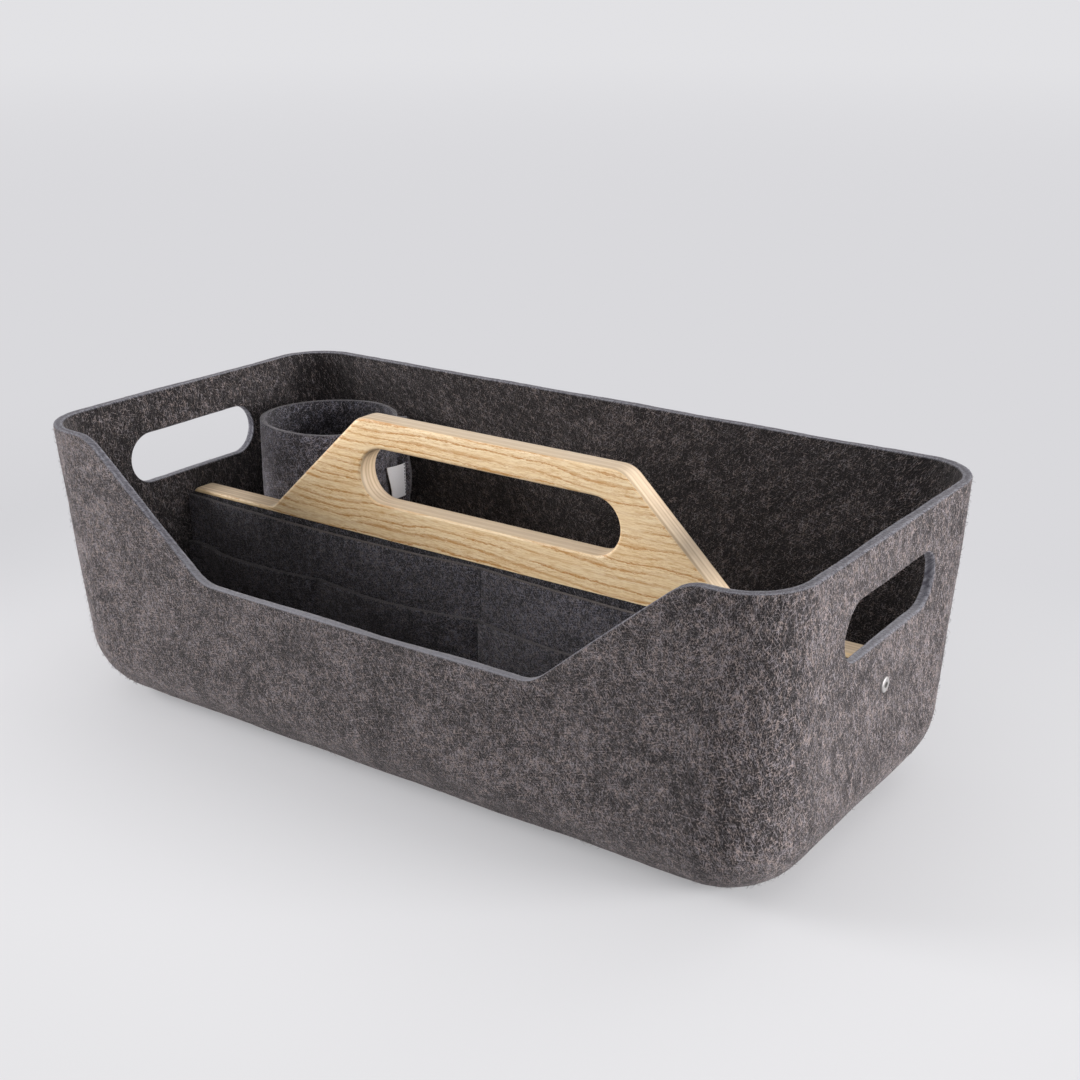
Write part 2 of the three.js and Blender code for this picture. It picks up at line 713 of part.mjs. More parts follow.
function cupBase() {
  const flat = CUP_RADIUS - CUP_FOOT_RADIUS;
  const arc = (radius, reverse) => Array.from({ length: CUP_FOOT_STEPS + 1 }, (unused, i) => {
    const share = reverse ? 1 - i / CUP_FOOT_STEPS : i / CUP_FOOT_STEPS;
    const angle = (Math.PI / 2) * share;
    return [flat + radius * Math.sin(angle), CUP_FOOT_RADIUS - radius * Math.cos(angle)];
  });
  const profile = [
    [0, 0],
    ...arc(CUP_FOOT_RADIUS, false),
    [CUP_RADIUS, CUP_JOIN_Z],
    [CUP_INNER, CUP_JOIN_Z],
    ...arc(CUP_FOOT_RADIUS - CUP_FELT, true),
    [0, CUP_FELT],
  ];
  const points = profile.map(([radius, z]) => new THREE.Vector2(radius, z));
  return new THREE.LatheGeometry(points, CUP_STEPS).rotateX(Math.PI / 2);
}

// A ring of overcast stitches inside the cup, across the joint of sleeve and foot
function cupFootThread() {
  const outer = (CUP_INNER - THREAD_GAP) * Math.cos(Math.PI / CUP_STEPS);
  const inner = outer - THREAD;
  const bottom = CUP_JOIN_Z - CUP_BASE_UPSTAND / 2;
  const top = CUP_JOIN_Z + FIT_GAP + CUP_BASE_UPSTAND / 2;
  const profile = [[inner, bottom], [outer, bottom], [outer, top], [inner, top], [inner, bottom]];
  const points = profile.map(([radius, z]) => new THREE.Vector2(radius, z));
  return new THREE.LatheGeometry(points, CUP_STEPS).rotateX(Math.PI / 2);
}

// The fin's stitching, down the face that the tag lies beside
function cupSideThread() {
  const x = CUP_RADIUS + FIN_STITCH_INSET;
  const y = -CUP_FELT - THREAD_GAP - THREAD / 2;
  const bottom = CUP_JOIN_Z + FIT_GAP + THREAD;
  return threadAlong([[x, y, bottom], [x, y, CUP_HEIGHT - THREAD]]).rotateZ(FIN_TURN);
}

const TAG_INNER = CUP_RADIUS + THREAD_GAP;
const TAG_OUTER = TAG_INNER + TAG_THICKNESS;
const TAG_END = FIN_TURN - (CUP_FELT + TAG_FIN_GAP) / CUP_RADIUS;
const TAG_START = TAG_END - TAG_WIDTH / CUP_RADIUS;
const TAG_TOP = CUP_HEIGHT - TAG_BELOW_RIM;

function cupTag() {
  const outline = new THREE.Shape();
  outline.absarc(0, 0, TAG_OUTER, TAG_START, TAG_END, false);
  outline.absarc(0, 0, TAG_INNER, TAG_END, TAG_START, true);
  return levelPlate(outline, TAG_TOP - TAG_HEIGHT, TAG_TOP);
}

function tagThread() {
  const turn = TAG_END - 2 * THREAD / CUP_RADIUS;
  const radius = TAG_OUTER + THREAD_GAP + THREAD / 2;
  const x = radius * Math.cos(turn);
  const y = radius * Math.sin(turn);
  return threadAlong([[x, y, TAG_TOP - TAG_HEIGHT + THREAD], [x, y, TAG_TOP - THREAD]]);
}

// Assembly

addPiece("felt_tray", feltTray(), "trayFelt");
addPiece("handle_board", handleBoard(), "wood");

for (const [side, word] of [[1, "right"], [-1, "left"]]) {
  const end = new THREE.Group();
  end.applyMatrix4(screwPlace(side));
  addPiece(`end_screw_${word}`, screw(), "screw", end);
  addPiece(`end_insert_${word}`, insert(), "insert", end);
  group.add(end);
}

addPiece("divider_backing", backing(), "liningFelt");
addPiece("tall_pocket", pocketSheet(tallBack, TALL_POCKET_TOP), "liningFelt");
addPiece("low_pocket", pocketSheet(lowBack, LOW_POCKET_TOP), "liningFelt");
addPiece("centre_seam_thread", centreThread(), "thread");
addPiece("right_seam_thread", lowSeamThread(1), "thread");
addPiece("left_seam_thread", lowSeamThread(-1), "thread");
addPiece("edge_seam_thread", edgeThread(), "thread");

for (let i = 0; i < STAPLE_COUNT; i += 1) {
  addPiece(`backing_staple_${i + 1}`, staple(i), "staple");
}

const cup = new THREE.Group();
cup.position.set(
  -halfLength(FLOOR, TRAY_FELT) + CUP_END_GAP + CUP_RADIUS,
  BOARD_BACK + CUP_BOARD_GAP + CUP_RADIUS,
  FLOOR + FIT_GAP,
);
addPiece("cup_sleeve", cupSleeve(), "liningFelt", cup);
addPiece("cup_base", cupBase(), "liningFelt", cup);
addPiece("cup_foot_thread", cupFootThread(), "thread", cup);
addPiece("cup_side_thread", cupSideThread(), "thread", cup);
addPiece("cup_tag", cupTag(), "tag", cup);
addPiece("tag_thread", tagThread(), "thread", cup);
group.add(cup);

export default group;
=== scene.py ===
import random
from math import acos, asin, atan2, copysign, cos, exp, hypot, pi, radians, sin, sqrt, tan

import bmesh
import bpy
from bmesh import ops
from mathutils import Matrix, Vector, noise


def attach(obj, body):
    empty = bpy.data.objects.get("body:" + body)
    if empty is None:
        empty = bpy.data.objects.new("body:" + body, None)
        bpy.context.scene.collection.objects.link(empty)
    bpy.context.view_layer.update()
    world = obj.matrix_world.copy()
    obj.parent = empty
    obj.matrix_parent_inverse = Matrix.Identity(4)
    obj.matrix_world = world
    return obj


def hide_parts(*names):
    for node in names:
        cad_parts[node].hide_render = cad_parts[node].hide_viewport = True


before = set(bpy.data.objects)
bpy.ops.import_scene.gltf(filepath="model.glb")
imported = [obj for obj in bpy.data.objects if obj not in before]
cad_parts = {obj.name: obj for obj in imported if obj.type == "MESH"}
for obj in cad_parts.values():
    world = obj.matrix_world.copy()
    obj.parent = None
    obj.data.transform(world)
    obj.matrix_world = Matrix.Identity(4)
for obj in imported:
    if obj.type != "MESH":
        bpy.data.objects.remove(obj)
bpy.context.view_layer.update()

# The pieces are made in millimetres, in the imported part's frame, and scaled once when finished.
MM = 0.001

# Tray: sizes at the rim, and how far a wall comes in for each millimetre further down
TRAY_LENGTH = 430
TRAY_WIDTH = 215
TRAY_HEIGHT = 150
TRAY_FELT = 5
END_DRAFT = 0.031
SIDE_DRAFT = 0.0487
RIM_CORNER_RADIUS = 30.6
FOOT_CORNER_RADIUS = 41.2
FOOT_FILLET = 35
FRONT_BOW = 3
BEVEL = 0.8

# The mould draws the fibres of the end walls towards this height, by this share of the way. The
# draw eases in over this run before the corner.
DRAW_MIDDLE = 85
END_DRAW = 0.36
DRAW_EASE = 20

# Low front, hand slots and screw bores
DIP_FLOOR = 87
DIP_FLOOR_HALF = 97.7
DIP_TOP_HALF = 172.2
DIP_FLOOR_FILLET = 18
DIP_RIM_FILLET = 22
# A stadium's middle y and z, half its straight part, and its radius
HAND_SLOT = (0, 114.7, 32.8, 13.9)
SCREW_PLACE_Y = 1.65
SCREW_Z = 76.5
BORE_RADIUS = 2.3
SOCKET_RADIUS = 1.5
# How deep and how far round each screw the felt is pressed in
PRESS_DEPTH = 0.95
PRESS_REACH = 5

# Handle board
BOARD_HALF = 6.5
ROUNDOVER = 2
RAIL_TOP = 91
RAIL_FOOT = 62
HANDLE_TOP = 152.6
HANDLE_TOP_HALF = 80.2
HANDLE_FOOT_HALF = 144.8
GRIP_REACH = 65
GRIP_RADIUS = 14.5
GRIP_Z = 122.4
REBATE_TOP = 88.5
REBATE_FACE = -3.2
INSERT_RADIUS = 3.9
INSERT_DEPTH = 19.1

# Felt divider and its pockets
SHEET = 3
SHEET_GAP = 0.3
DIVIDER_FOOT = 5.3
BACKING_TOP = 88.2
TALL_TOP = 87
LOW_TOP = 60
TALL_GAPE = 5.5
TALL_GAPE_LEFT = 4.2
LOW_GAPE = 5.2
FOOT_SEAM_Z = 12
BELLY_FOOT = 12.7
BELLY_RUN_OUT = 24
EDGE_SEAM_INSET = 4

# Pen cup, about its own axis
CUP_PLACE = Vector((-149.505, 47.5, 5.3))
CUP_RADIUS = 39
CUP_HEIGHT = 123
CUP_RIM_RISE = 1
CUP_RIM_WAVE = 0.7
CUP_FELT = 3
# Painted shade on the inside of the cup
CUP_PAINTED_SHADE = 0.72
CUP_FOOT_RADIUS = 22
CUP_JOIN = 25
FIN_TURN = radians(31)
FIN_TIP = 44.6
TAG_MIDDLE = 89


def add_object(name, data):
    made = bpy.data.objects.new(name, data)
    bpy.context.scene.collection.objects.link(made)
    return made


# Camera: placed as the photograph shows the tray

def make_camera():
    data = bpy.data.cameras.new("view")
    data.lens = 53.75
    data.sensor_width = 36
    camera = add_object("view", data)
    yaw, pitch, roll = radians(34.87), radians(-19.84), radians(0.16)
    turn = (
        Matrix.Rotation(yaw, 4, "Z")
        @ Matrix.Rotation(radians(90) + pitch, 4, "X")
        @ Matrix.Rotation(roll, 4, "Z")
    )
    camera.matrix_world = Matrix.Translation((0.4555, -0.6106, 0.3745)) @ turn
    bpy.context.scene.camera = camera


make_camera()


# Materials: a Signal is what a node gives, and sums on it add Math nodes

def sum_of(operation, reflected=False):
    """The method that adds a Math node for one kind of sum."""
    def add_node(signal, other=None):
        values = (other, signal) if reflected else (signal, other)
        return signal.shader.node("Math", {"operation": operation}, *values)

    return add_node


class Signal:
    def __init__(self, shader, socket):
        self.shader = shader
        self.socket = socket

    __add__ = __radd__ = sum_of("ADD")
    __sub__ = sum_of("SUBTRACT")
    __rsub__ = sum_of("SUBTRACT", reflected=True)
    __mul__ = __rmul__ = sum_of("MULTIPLY")
    __abs__ = sum_of("ABSOLUTE")
    fraction = sum_of("FRACT")
    highest = sum_of("MAXIMUM")
    lowest = sum_of("MINIMUM")

    def beside(self, output):
        """Another output of the same node."""
        return Signal(self.shader, self.socket.node.outputs[output])

    def step(self, low, high, start=0.0, end=1.0):
        """Eases from start, where this is low, to end, where it is high."""
        settings = {"interpolation_type": "SMOOTHSTEP"}
        return self.shader.node("MapRange", settings, self, low, high, start, end)


class Shader:
    """The nodes of one material or of the world, whose surface is a Principled shader or light."""

    def __init__(self, owner, constants, surface="Principled BSDF"):
        if isinstance(owner, str):
            owner = bpy.data.materials.new(owner)
        owner.use_nodes = True
        self.owner = owner
        self.tree = owner.node_tree
        self.surface = self.tree.nodes[surface]
        for socket, value in constants.items():
            self.surface.inputs[socket].default_value = value

    def node(self, kind, settings, *values, output=0, **named):
        made = self.tree.nodes.new("ShaderNode" + kind)
        for setting, value in settings.items():
            setattr(made, setting, value)
        for index, value in enumerate(values):
            self.feed(made.inputs[index], value)
        for socket, value in named.items():
            self.feed(made.inputs[socket.replace("_", " ")], value)
        return Signal(self, made.outputs[output])

    def feed(self, socket, value):
        if isinstance(value, Signal):
            self.tree.links.new(value.socket, socket)
        elif value is not None:
            socket.default_value = value

    def vector(self, operation, *values, output=0, **named):
        return self.node("VectorMath", {"operation": operation}, *values, output=output, **named)

    def place(self, size=(1, 1, 1), shift=(0, 0, 0)):
        """Object coordinates in metres from a shift, divided by a size along each axis."""
        return self.within(self.node("TexCoord", {}, output=3), size, shift)

    def within(self, where, size, shift=(0, 0, 0), turn=(0, 0, 0)):
        """A place in a turned frame whose unit is size."""
        return self.node(
            "Mapping", {"vector_type": "TEXTURE"},
            Vector=where, Location=shift, Rotation=turn, Scale=size,
        )

    def axis(self, name):
        place = self.node("TexCoord", {}, output=3)
        return self.node("SeparateXYZ", {}, place, output="XYZ".index(name))

    def attribute(self, name, output=2):
        return self.node("Attribute", {"attribute_name": name}, output=output)

    def noise(self, where, size, detail=2.0, roughness=0.5, across="3D"):
        """Soft noise whose lumps are about size millimetres wide."""
        return self.node(
            "TexNoise", {"noise_dimensions": across}, Vector=where, Scale=1000 / size,
            Detail=detail, Roughness=roughness,
        )

    def grain(self, stretch, size, detail=2.0, roughness=0.5):
        return self.noise(self.place(stretch), size, detail, roughness)

    def bent(self, where, size, amount, across="3D"):
        """A place moved by up to amount millimetres, so that what lies on it bends."""
        settings = {"noise_dimensions": across}
        moved = self.node(
            "TexNoise", settings, Vector=where, Scale=1000 / size, Detail=1.0, output=1
        )
        centred = self.vector("SUBTRACT", moved, (0.5, 0.5, 0.5))
        return self.vector("ADD", where, self.vector("SCALE", centred, Scale=amount * 2 * MM))

    def hairs(self, where, length, apart, turn):
        """Separate hairs, one in each long cell: how much of one is here, and its tone."""
        size = (length * MM, apart * MM, 1)
        cells = self.within(where, size, (turn, turn * 0.37, 0), (0, 0, radians(turn)))
        distance = self.node(
            "TexVoronoi", {"voronoi_dimensions": "2D"}, Vector=cells, Scale=1.0, Randomness=1.0
        )
        return distance.step(0.1, 0.34, 1.0, 0.0), distance.beside(1)

    def mix(self, share, first, second):
        return self.node(
            "Mix", {"data_type": "RGBA"}, share, None, None, None, None, None,
            colour(first), colour(second), output=2,
        )

    def bump(self, height, distance):
        return self.node("Bump", {}, Strength=1.0, Distance=distance, Height=height)

    def finish(self, base, bump=None, roughness=None, metallic=None):
        self.feed(self.surface.inputs["Base Color"], colour(base))
        self.feed(self.surface.inputs["Normal"], bump)
        self.feed(self.surface.inputs["Roughness"], roughness)
        self.feed(self.surface.inputs["Metallic"], metallic)
        return self.owner

    def show(self, share, other, ending):
        """Mixes another shader into the surface, for the rays that share names."""
        lit = Signal(self, self.surface.outputs[0])
        self.feed(self.tree.nodes[ending].inputs[0], self.node("MixShader", {}, share, lit, other))

    def clear_rays(self):
        """1 for what the camera sees, at once or in metal or glass, and 0 for light."""
        ray = self.node("LightPath", {})
        glossy, through = ray.beside("Is Glossy Ray"), ray.beside("Is Transmission Ray")
        return ray.highest(glossy).highest(through)


def colour(value):
    return value if isinstance(value, Signal) else (*value, 1.0)


# Directions of the hairs in degrees: the felted mass, and the few bright ones that lie over it
HAIR_TURNS = (17, 78, -48, 118, 52, -12)
STRAY_TURNS = (65, -26, 99)
# A hair of this tone leaves the felt under it as it is
EVEN_TONE = 0.42
# How far the shade attribute darkens the felt: painted shade
PAINTED_SHADE_DEPTH = 0.26


def felt(name, dark, pale, warm, edge_dark, edge_pale, hair, contrast, stray, relief, sheen):
    """Pressed wool felt: crossing hairs of many tones, over dark and pale clumps.

    A piece stores four attributes for it: lay, the place on the flat felt; shade, how much
    painted shade darkens the felt, and below 0 painted light that makes it paler; cut, where a
    cut edge shows; across, how far that is through the felt.
    """
    shader = Shader(name, {
        "Roughness": 0.95, "Specular IOR Level": 0.1, "Sheen Weight": sheen,
        "Sheen Roughness": 0.5, "Sheen Tint": (0.98, 0.92, 0.92, 1),
    })
    lay = shader.attribute("lay", 1)
    bent = shader.bent(lay, 20, 1.3, "2D")
    clump = shader.noise(lay, 7.5, 4.0, 0.6, "2D")
    cloud = shader.noise(lay, 26, 2.0, 0.5, "2D")
    grain = shader.noise(bent, 0.8, 3.0, 0.75, "2D")
    level = clump * 0.8 + cloud * 0.46 + (grain - 0.5) * contrast * 1.5 - 0.364
    relief_map = clump * 1.2
    for number, turn in enumerate(HAIR_TURNS):
        size = hair * (1 - 0.09 * number)
        share, tone = shader.hairs(bent, 18 * size, size, turn)
        level = level + share * (tone - EVEN_TONE) * contrast
        relief_map = relief_map + share * 0.2
    for turn in STRAY_TURNS:
        share, tone = shader.hairs(bent, 17, 0.75, turn)
        level = level + share * tone.step(0.6, 1.0) * stray
    # Painted shade from the shade attribute, or painted light where it is below 0
    level = (level - shader.attribute("shade") * PAINTED_SHADE_DEPTH).highest(0)
    tinted = shader.mix(shader.noise(bent, 2.4, 2.0, 0.6, "2D").step(0.4, 0.62), pale, warm)
    base = shader.mix(level * level, dark, tinted)
    cut, across = shader.attribute("cut"), shader.attribute("across")
    fuzz = grain * 0.5 + shader.noise(lay, 1.6, 3.0, 0.7, "2D") * 0.6
    # The cut edge is paler along the low front than along the high rim
    low_front_edge = shader.axis("Z").step(0.088, 0.112, 1.0, 0.0)
    edge = shader.mix((fuzz.step(0.4, 0.68) + low_front_edge * 0.55).lowest(1), edge_dark, edge_pale)
    middle = abs(across - 0.5).step(0.1, 0.3, 1.0, 0.0)
    edge = shader.mix(middle * (0.5 - low_front_edge * 0.3), edge, [value * 0.6 for value in edge_dark])
    base = shader.mix(cut, base, edge)
    return shader.finish(base, shader.bump(relief_map, relief))


TRAY_FELT_LOOK = felt(
    "tray_felt", (0.0085, 0.0071, 0.0078), (0.3, 0.266, 0.281), (0.36, 0.29, 0.272),
    (0.075, 0.072, 0.094), (0.27, 0.268, 0.3), 0.5, 1.65, 0.42, 0.0004, 0.2,
)
LINING_LOOK = felt(
    "lining_felt", (0.007, 0.007, 0.010), (0.215, 0.207, 0.255), (0.247, 0.214, 0.222),
    (0.014, 0.013, 0.015), (0.04, 0.036, 0.039), 0.46, 2.0, 0.3, 0.0003, 0.26,
)
# The cup felt is a lighter, bluer copy of the lining: partly its own sheet, partly painted light,
# as more light reaches the cup than the pockets
CUP_LOOK = felt(
    "cup_felt", (0.010, 0.0095, 0.012), (0.31, 0.3, 0.375), (0.35, 0.31, 0.335),
    (0.025, 0.024, 0.028), (0.11, 0.105, 0.12), 0.5, 1.5, 0.25, 0.0003, 0.26,
)


# Lines of grain and plies in a metre of board, and how far from its middle the veneer starts
GRAIN_LINES = 235
PLIES = 200
VENEER = (0.0057, 0.0061)


def wood():
    """Ash veneer on plywood, with the plies showing wherever the face is cut away."""
    shader = Shader("board_wood", {"Coat Weight": 0.12, "Coat Roughness": 0.4})
    x, y, z = (shader.axis(name) for name in "XYZ")
    drift = shader.grain((1, 1, 0.6), 120, 2.0)
    wave = shader.grain((4, 1, 0.8), 14, 2.0, 0.6)
    comb = shader.grain((7, 1, 1), 0.5, 2.0, 0.7)
    rings = (z + x * 0.02) * GRAIN_LINES + drift * 4.6 + wave * 1.5 + comb * 0.6
    phase = rings.fraction()
    early = phase.step(0.0, 0.03) * phase.step(0.05, 0.42, 1.0, 0.0)
    between = (rings * 2.6 + comb * 1.2 + wave * 1.6).fraction()
    late = between.step(0.0, 0.08) * between.step(0.12, 0.5, 1.0, 0.0)
    pores = shader.grain((11, 1, 1), 0.6, 2.0, 0.65).step(0.42, 0.6)
    strength = shader.grain((9, 1, 1), 5, 1.0).step(0.34, 0.58)
    tone = shader.grain((8, 1, 1), 4, 3.0, 0.6)
    face = shader.mix(tone.step(0.3, 0.7), (0.95, 0.715, 0.43), (0.99, 0.79, 0.52))
    broken = (pores * 0.4 + 0.6) * (strength * 0.8 + 0.36)
    line = ((early * 0.95 + late * 0.55) * broken).lowest(1)
    face = shader.mix(line, face, (0.52, 0.22, 0.042))
    face = shader.mix(pores * 0.4, face, (0.68, 0.41, 0.15))
    wander = shader.grain((10, 1, 10), 3)
    ply = (y * PLIES + wander * 0.2 + 0.15).fraction()
    glue = abs((ply * 2).fraction() - 0.5).step(0.14, 0.3, 1.0, 0.0)
    # The glue lines are fainter along the handle's top than down its slopes
    glue = glue * abs(x).step(0.05, 0.07, 0.25, 1.0)
    patch = shader.grain((20, 1, 20), 2.2, 1.0).step(0.36, 0.62)
    end_grain = shader.grain((5, 0.4, 5), 1.2, 2.0, 0.6)
    cream = shader.mix(end_grain, (0.66, 0.5, 0.34), (0.77, 0.62, 0.44))
    band = abs(ply - 0.5).step(0.2, 0.3)
    cream = shader.mix(band * 0.3, cream, (0.5, 0.35, 0.21))
    plies = shader.mix(glue * (patch * 0.4 + 0.1), cream, (0.38, 0.24, 0.13))
    base = shader.mix(abs(y).step(*VENEER), plies, face)
    height = line * -0.5 - pores * 0.3 + end_grain * 0.1
    return shader.finish(base, shader.bump(height, 0.00005), line * 0.15 + 0.42)


BOARD_LOOK = wood()


def thread():
    """Sewing thread, darker where its plies turn inwards."""
    shader = Shader("thread", {"Roughness": 0.75, "Sheen Weight": 0.2})
    twist = shader.grain((1, 1, 1), 0.5, 2.0)
    base = shader.mix(twist, (0.008, 0.008, 0.011), (0.035, 0.034, 0.042))
    return shader.finish(base, shader.bump(twist, 0.0001))


def turned_metal(name, dark, pale, roughness, socket_radius=0.0):
    """Plated steel or brass with the fine rings that turning leaves, and painted shade in a
    screw's hex socket.
    """
    shader = Shader(name, {})
    rings = shader.grain((0.2, 1, 1), 0.7, 2.0)
    smudge = shader.grain((1, 1, 1), 4, 2.0, 0.6)
    base = shader.mix(smudge, dark, pale)
    rough = smudge * 0.18 + rings * 0.1 + (roughness - 0.12)
    if socket_radius:
        axis = shader.place((1000, 1, 1), (0, SCREW_PLACE_Y * MM, SCREW_Z * MM))
        away = shader.vector("LENGTH", axis, output=1)
        # Painted shade: the colour darkens inside the hex socket's radius round the screw's axis
        socket = away.step(socket_radius * MM * 0.9, socket_radius * MM * 1.1, 1.0, 0.0)
        base = shader.mix(socket, base, (0.2, 0.19, 0.18))
    return shader.finish(base, shader.bump(rings, 0.00002), rough, 1.0)


def tape():
    """Blank woven tape: fine warp and weft, off-white."""
    shader = Shader("tag_tape", {"Roughness": 0.7, "Sheen Weight": 0.25})
    weft = shader.node("TexWave", {"bands_direction": "Z"}, Vector=shader.place(), Scale=700)
    fuzz = shader.grain((1, 1, 1), 0.7, 2.0, 0.6)
    base = shader.mix(fuzz * 0.6 + weft * 0.3, (0.76, 0.74, 0.77), (0.95, 0.93, 0.96))
    return shader.finish(base, shader.bump(weft * 0.6 + fuzz * 0.4, 0.00012))


def loose_wool():
    """Single hairs that stand off the felt."""
    shader = Shader("loose_wool", {"Roughness": 0.8, "Specular IOR Level": 0.2})
    tone = shader.grain((1, 1, 1), 5, 2.0, 0.7)
    base = shader.mix(tone.step(0.35, 0.65), (0.06, 0.055, 0.058), (0.3, 0.27, 0.285))
    return shader.finish(base, shader.bump(tone, 0.00005))


THREAD_LOOK = thread()
LOOSE_WOOL_LOOK = loose_wool()
SCREW_LOOK = turned_metal(
    "screw_steel", (0.35, 0.335, 0.33), (0.45, 0.435, 0.43), 0.58, SOCKET_RADIUS
)
INSERT_LOOK = turned_metal("insert_brass", (0.4, 0.29, 0.11), (0.62, 0.47, 0.2), 0.34)
STAPLE_LOOK = turned_metal("staple_steel", (0.4, 0.4, 0.42), (0.6, 0.6, 0.62), 0.4)
TAG_LOOK = tape()


# Making pieces

def to_mesh(name, bm, size=MM):
    ops.scale(bm, vec=(size, size, size), verts=bm.verts)
    mesh = bpy.data.meshes.new(name)
    bm.to_mesh(mesh)
    bm.free()
    return mesh


def new_piece(name, bm, look, body, slot, *nodes, sharp=40):
    """Turns a bmesh in millimetres into a shown piece that rides on a body."""
    mesh = to_mesh(name, bm)
    mesh.shade_smooth()
    mesh.set_sharp_from_angle(angle=radians(sharp))
    mesh.materials.append(look)
    piece = add_object(name, mesh)
    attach(piece, body)
    if nodes:
        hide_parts(*nodes)
    return piece


def clamp(value, high=1):
    return min(max(value, 0), high)


def ease(value):
    """Rises smoothly from 0 to 1, and stays there on either side."""
    value = clamp(value)
    return value * value * (3 - 2 * value)


def ramp(value, low, high):
    return ease((value - low) / (high - low))


def steps_between(start, end, steps):
    return [start + (end - start) * step / steps for step in range(steps + 1)]


def arc(start, end, steps):
    """The cosine and sine of each angle in equal steps from start to end."""
    return [(cos(angle), sin(angle)) for angle in steps_between(start, end, steps)]


def new_form():
    """An empty bmesh with the layers that the pieces use."""
    bm = bmesh.new()
    bm.verts.layers.int.new("order")
    for name in ("cut", "across", "shade"):
        bm.verts.layers.float.new(name)
    bm.loops.layers.float_vector.new("lay")
    return bm


def lay_out(bm, lay_of):
    """Stores where each face corner lies on the flat felt, so that fibres follow the sheet."""
    bm.normal_update()
    lay = bm.loops.layers.float_vector["lay"]
    for face in bm.faces:
        middle = face.calc_center_median()
        for loop in face.loops:
            u, v = lay_of(loop.vert.co, middle, face.normal)
            loop[lay] = Vector((u, v, 0)) * MM


def loop_edges(loop):
    """The edges between each vertex of a closed loop and the next."""
    edges = []
    for vertex, following in zip(loop, loop[1:] + loop[:1]):
        edges.append(next(e for e in vertex.link_edges if e.other_vert(vertex) is following))
    return edges


def face_outwards(bm):
    ops.recalc_face_normals(bm, faces=bm.faces)


def only_verts(geom):
    return [part for part in geom if isinstance(part, bmesh.types.BMVert)]


def sharp_edges(bm):
    return [e for e in bm.edges if e.is_manifold and e.calc_face_angle() > radians(60)]


def round_off(bm, edges, offset):
    ops.bevel(
        bm, geom=edges, offset=offset, segments=3, profile=0.5, affect="EDGES", material=-1
    )


def facing(direction):
    """The turn that brings z to a direction."""
    return direction.to_track_quat("Z", "Y").to_matrix().to_4x4()


def circle_places(count, radius, z):
    return [Vector((radius * x, radius * y, z)) for x, y in arc(0, 2 * pi, count)[:-1]]


def extrude_loop(bm, loop, places):
    """Extrudes a closed loop and puts the new vertices at their places, in the same order."""
    order = bm.verts.layers.int["order"]
    for index, vertex in enumerate(loop):
        vertex[order] = index
    fresh = only_verts(ops.extrude_edge_only(bm, edges=loop_edges(loop))["geom"])
    fresh.sort(key=lambda vertex: vertex[order])
    for vertex, place in zip(fresh, places):
        vertex.co = place
    return fresh


def first_loop(bm, places):
    """A closed loop of vertices to extrude from."""
    circle = ops.create_circle(bm, segments=len(places), radius=1)["verts"]
    for vertex, place in zip(circle, places):
        vertex.co = place
    return circle


WIDE_LUMP, NEAR_LUMP, SMALL_LUMP = 45, 7, 3


def uneven(bm, coarse, fine, seed):
    """Moves each vertex a little along its normal, so that felt isn't machine flat."""
    bm.normal_update()
    shift = Vector((seed, seed * 0.7, seed * 1.3))
    moves = []
    for vertex in bm.verts:
        wide = noise.noise(vertex.co / WIDE_LUMP + shift)
        near = noise.noise(vertex.co / NEAR_LUMP + shift)
        small = noise.noise(vertex.co / SMALL_LUMP - shift)
        moves.append(vertex.normal * (coarse * wide + fine * (near + 0.6 * small)))
    for vertex, move in zip(bm.verts, moves):
        vertex.co += move
        vertex.co.z = max(vertex.co.z, 0)


# Felt tray

CORNER_STEPS = 16
LONG_STEPS = 120
END_STEPS = 48
FILLET_STEPS = 14
WALL_STEPS = 30


def turned(x, y, quarters):
    for _ in range(quarters):
        x, y = -y, x
    return x, y


def tray_columns():
    """Each column of the wall as its corner or side place, and its way outwards."""
    columns = []
    for quarter in range(4):
        for step in range(CORNER_STEPS + 1):
            angle = pi / 2 * (quarter + step / CORNER_STEPS)
            columns.append((*turned(1, 1, quarter), cos(angle), sin(angle)))
        steps = END_STEPS if quarter % 2 else LONG_STEPS
        for step in range(1, steps):
            along = turned(1 - 2 * step / steps, 1, quarter)
            columns.append((*along, *turned(0, 1, quarter)))
    return columns


COLUMNS = tray_columns()


def half_length(z, inset=0):
    return TRAY_LENGTH / 2 - END_DRAFT * (TRAY_HEIGHT - z) - inset


def half_width(z, inset=0):
    return TRAY_WIDTH / 2 - SIDE_DRAFT * (TRAY_HEIGHT - z) - inset


def corner_radius(z, inset=0):
    rise = z / TRAY_HEIGHT
    radius = FOOT_CORNER_RADIUS + (RIM_CORNER_RADIUS - FOOT_CORNER_RADIUS) * rise
    return max(radius - inset, 1)


def front_bow(along_x, z):
    """How far the front bows out at a share of its half length."""
    return FRONT_BOW * z / TRAY_HEIGHT * (1 - along_x ** 2) ** 2


def tray_point(column, z, inset):
    """A point of the wall at a height, drawn in from the outside by an inset."""
    along_x, along_y, out_x, out_y = column
    radius = corner_radius(z, inset)
    x = along_x * (half_length(z, inset) - radius) + out_x * radius
    y = along_y * (half_width(z, inset) - radius) + out_y * radius
    if out_y == -1 and abs(along_x) < 1:
        y -= front_bow(along_x, z)
    return Vector((x, y, z))


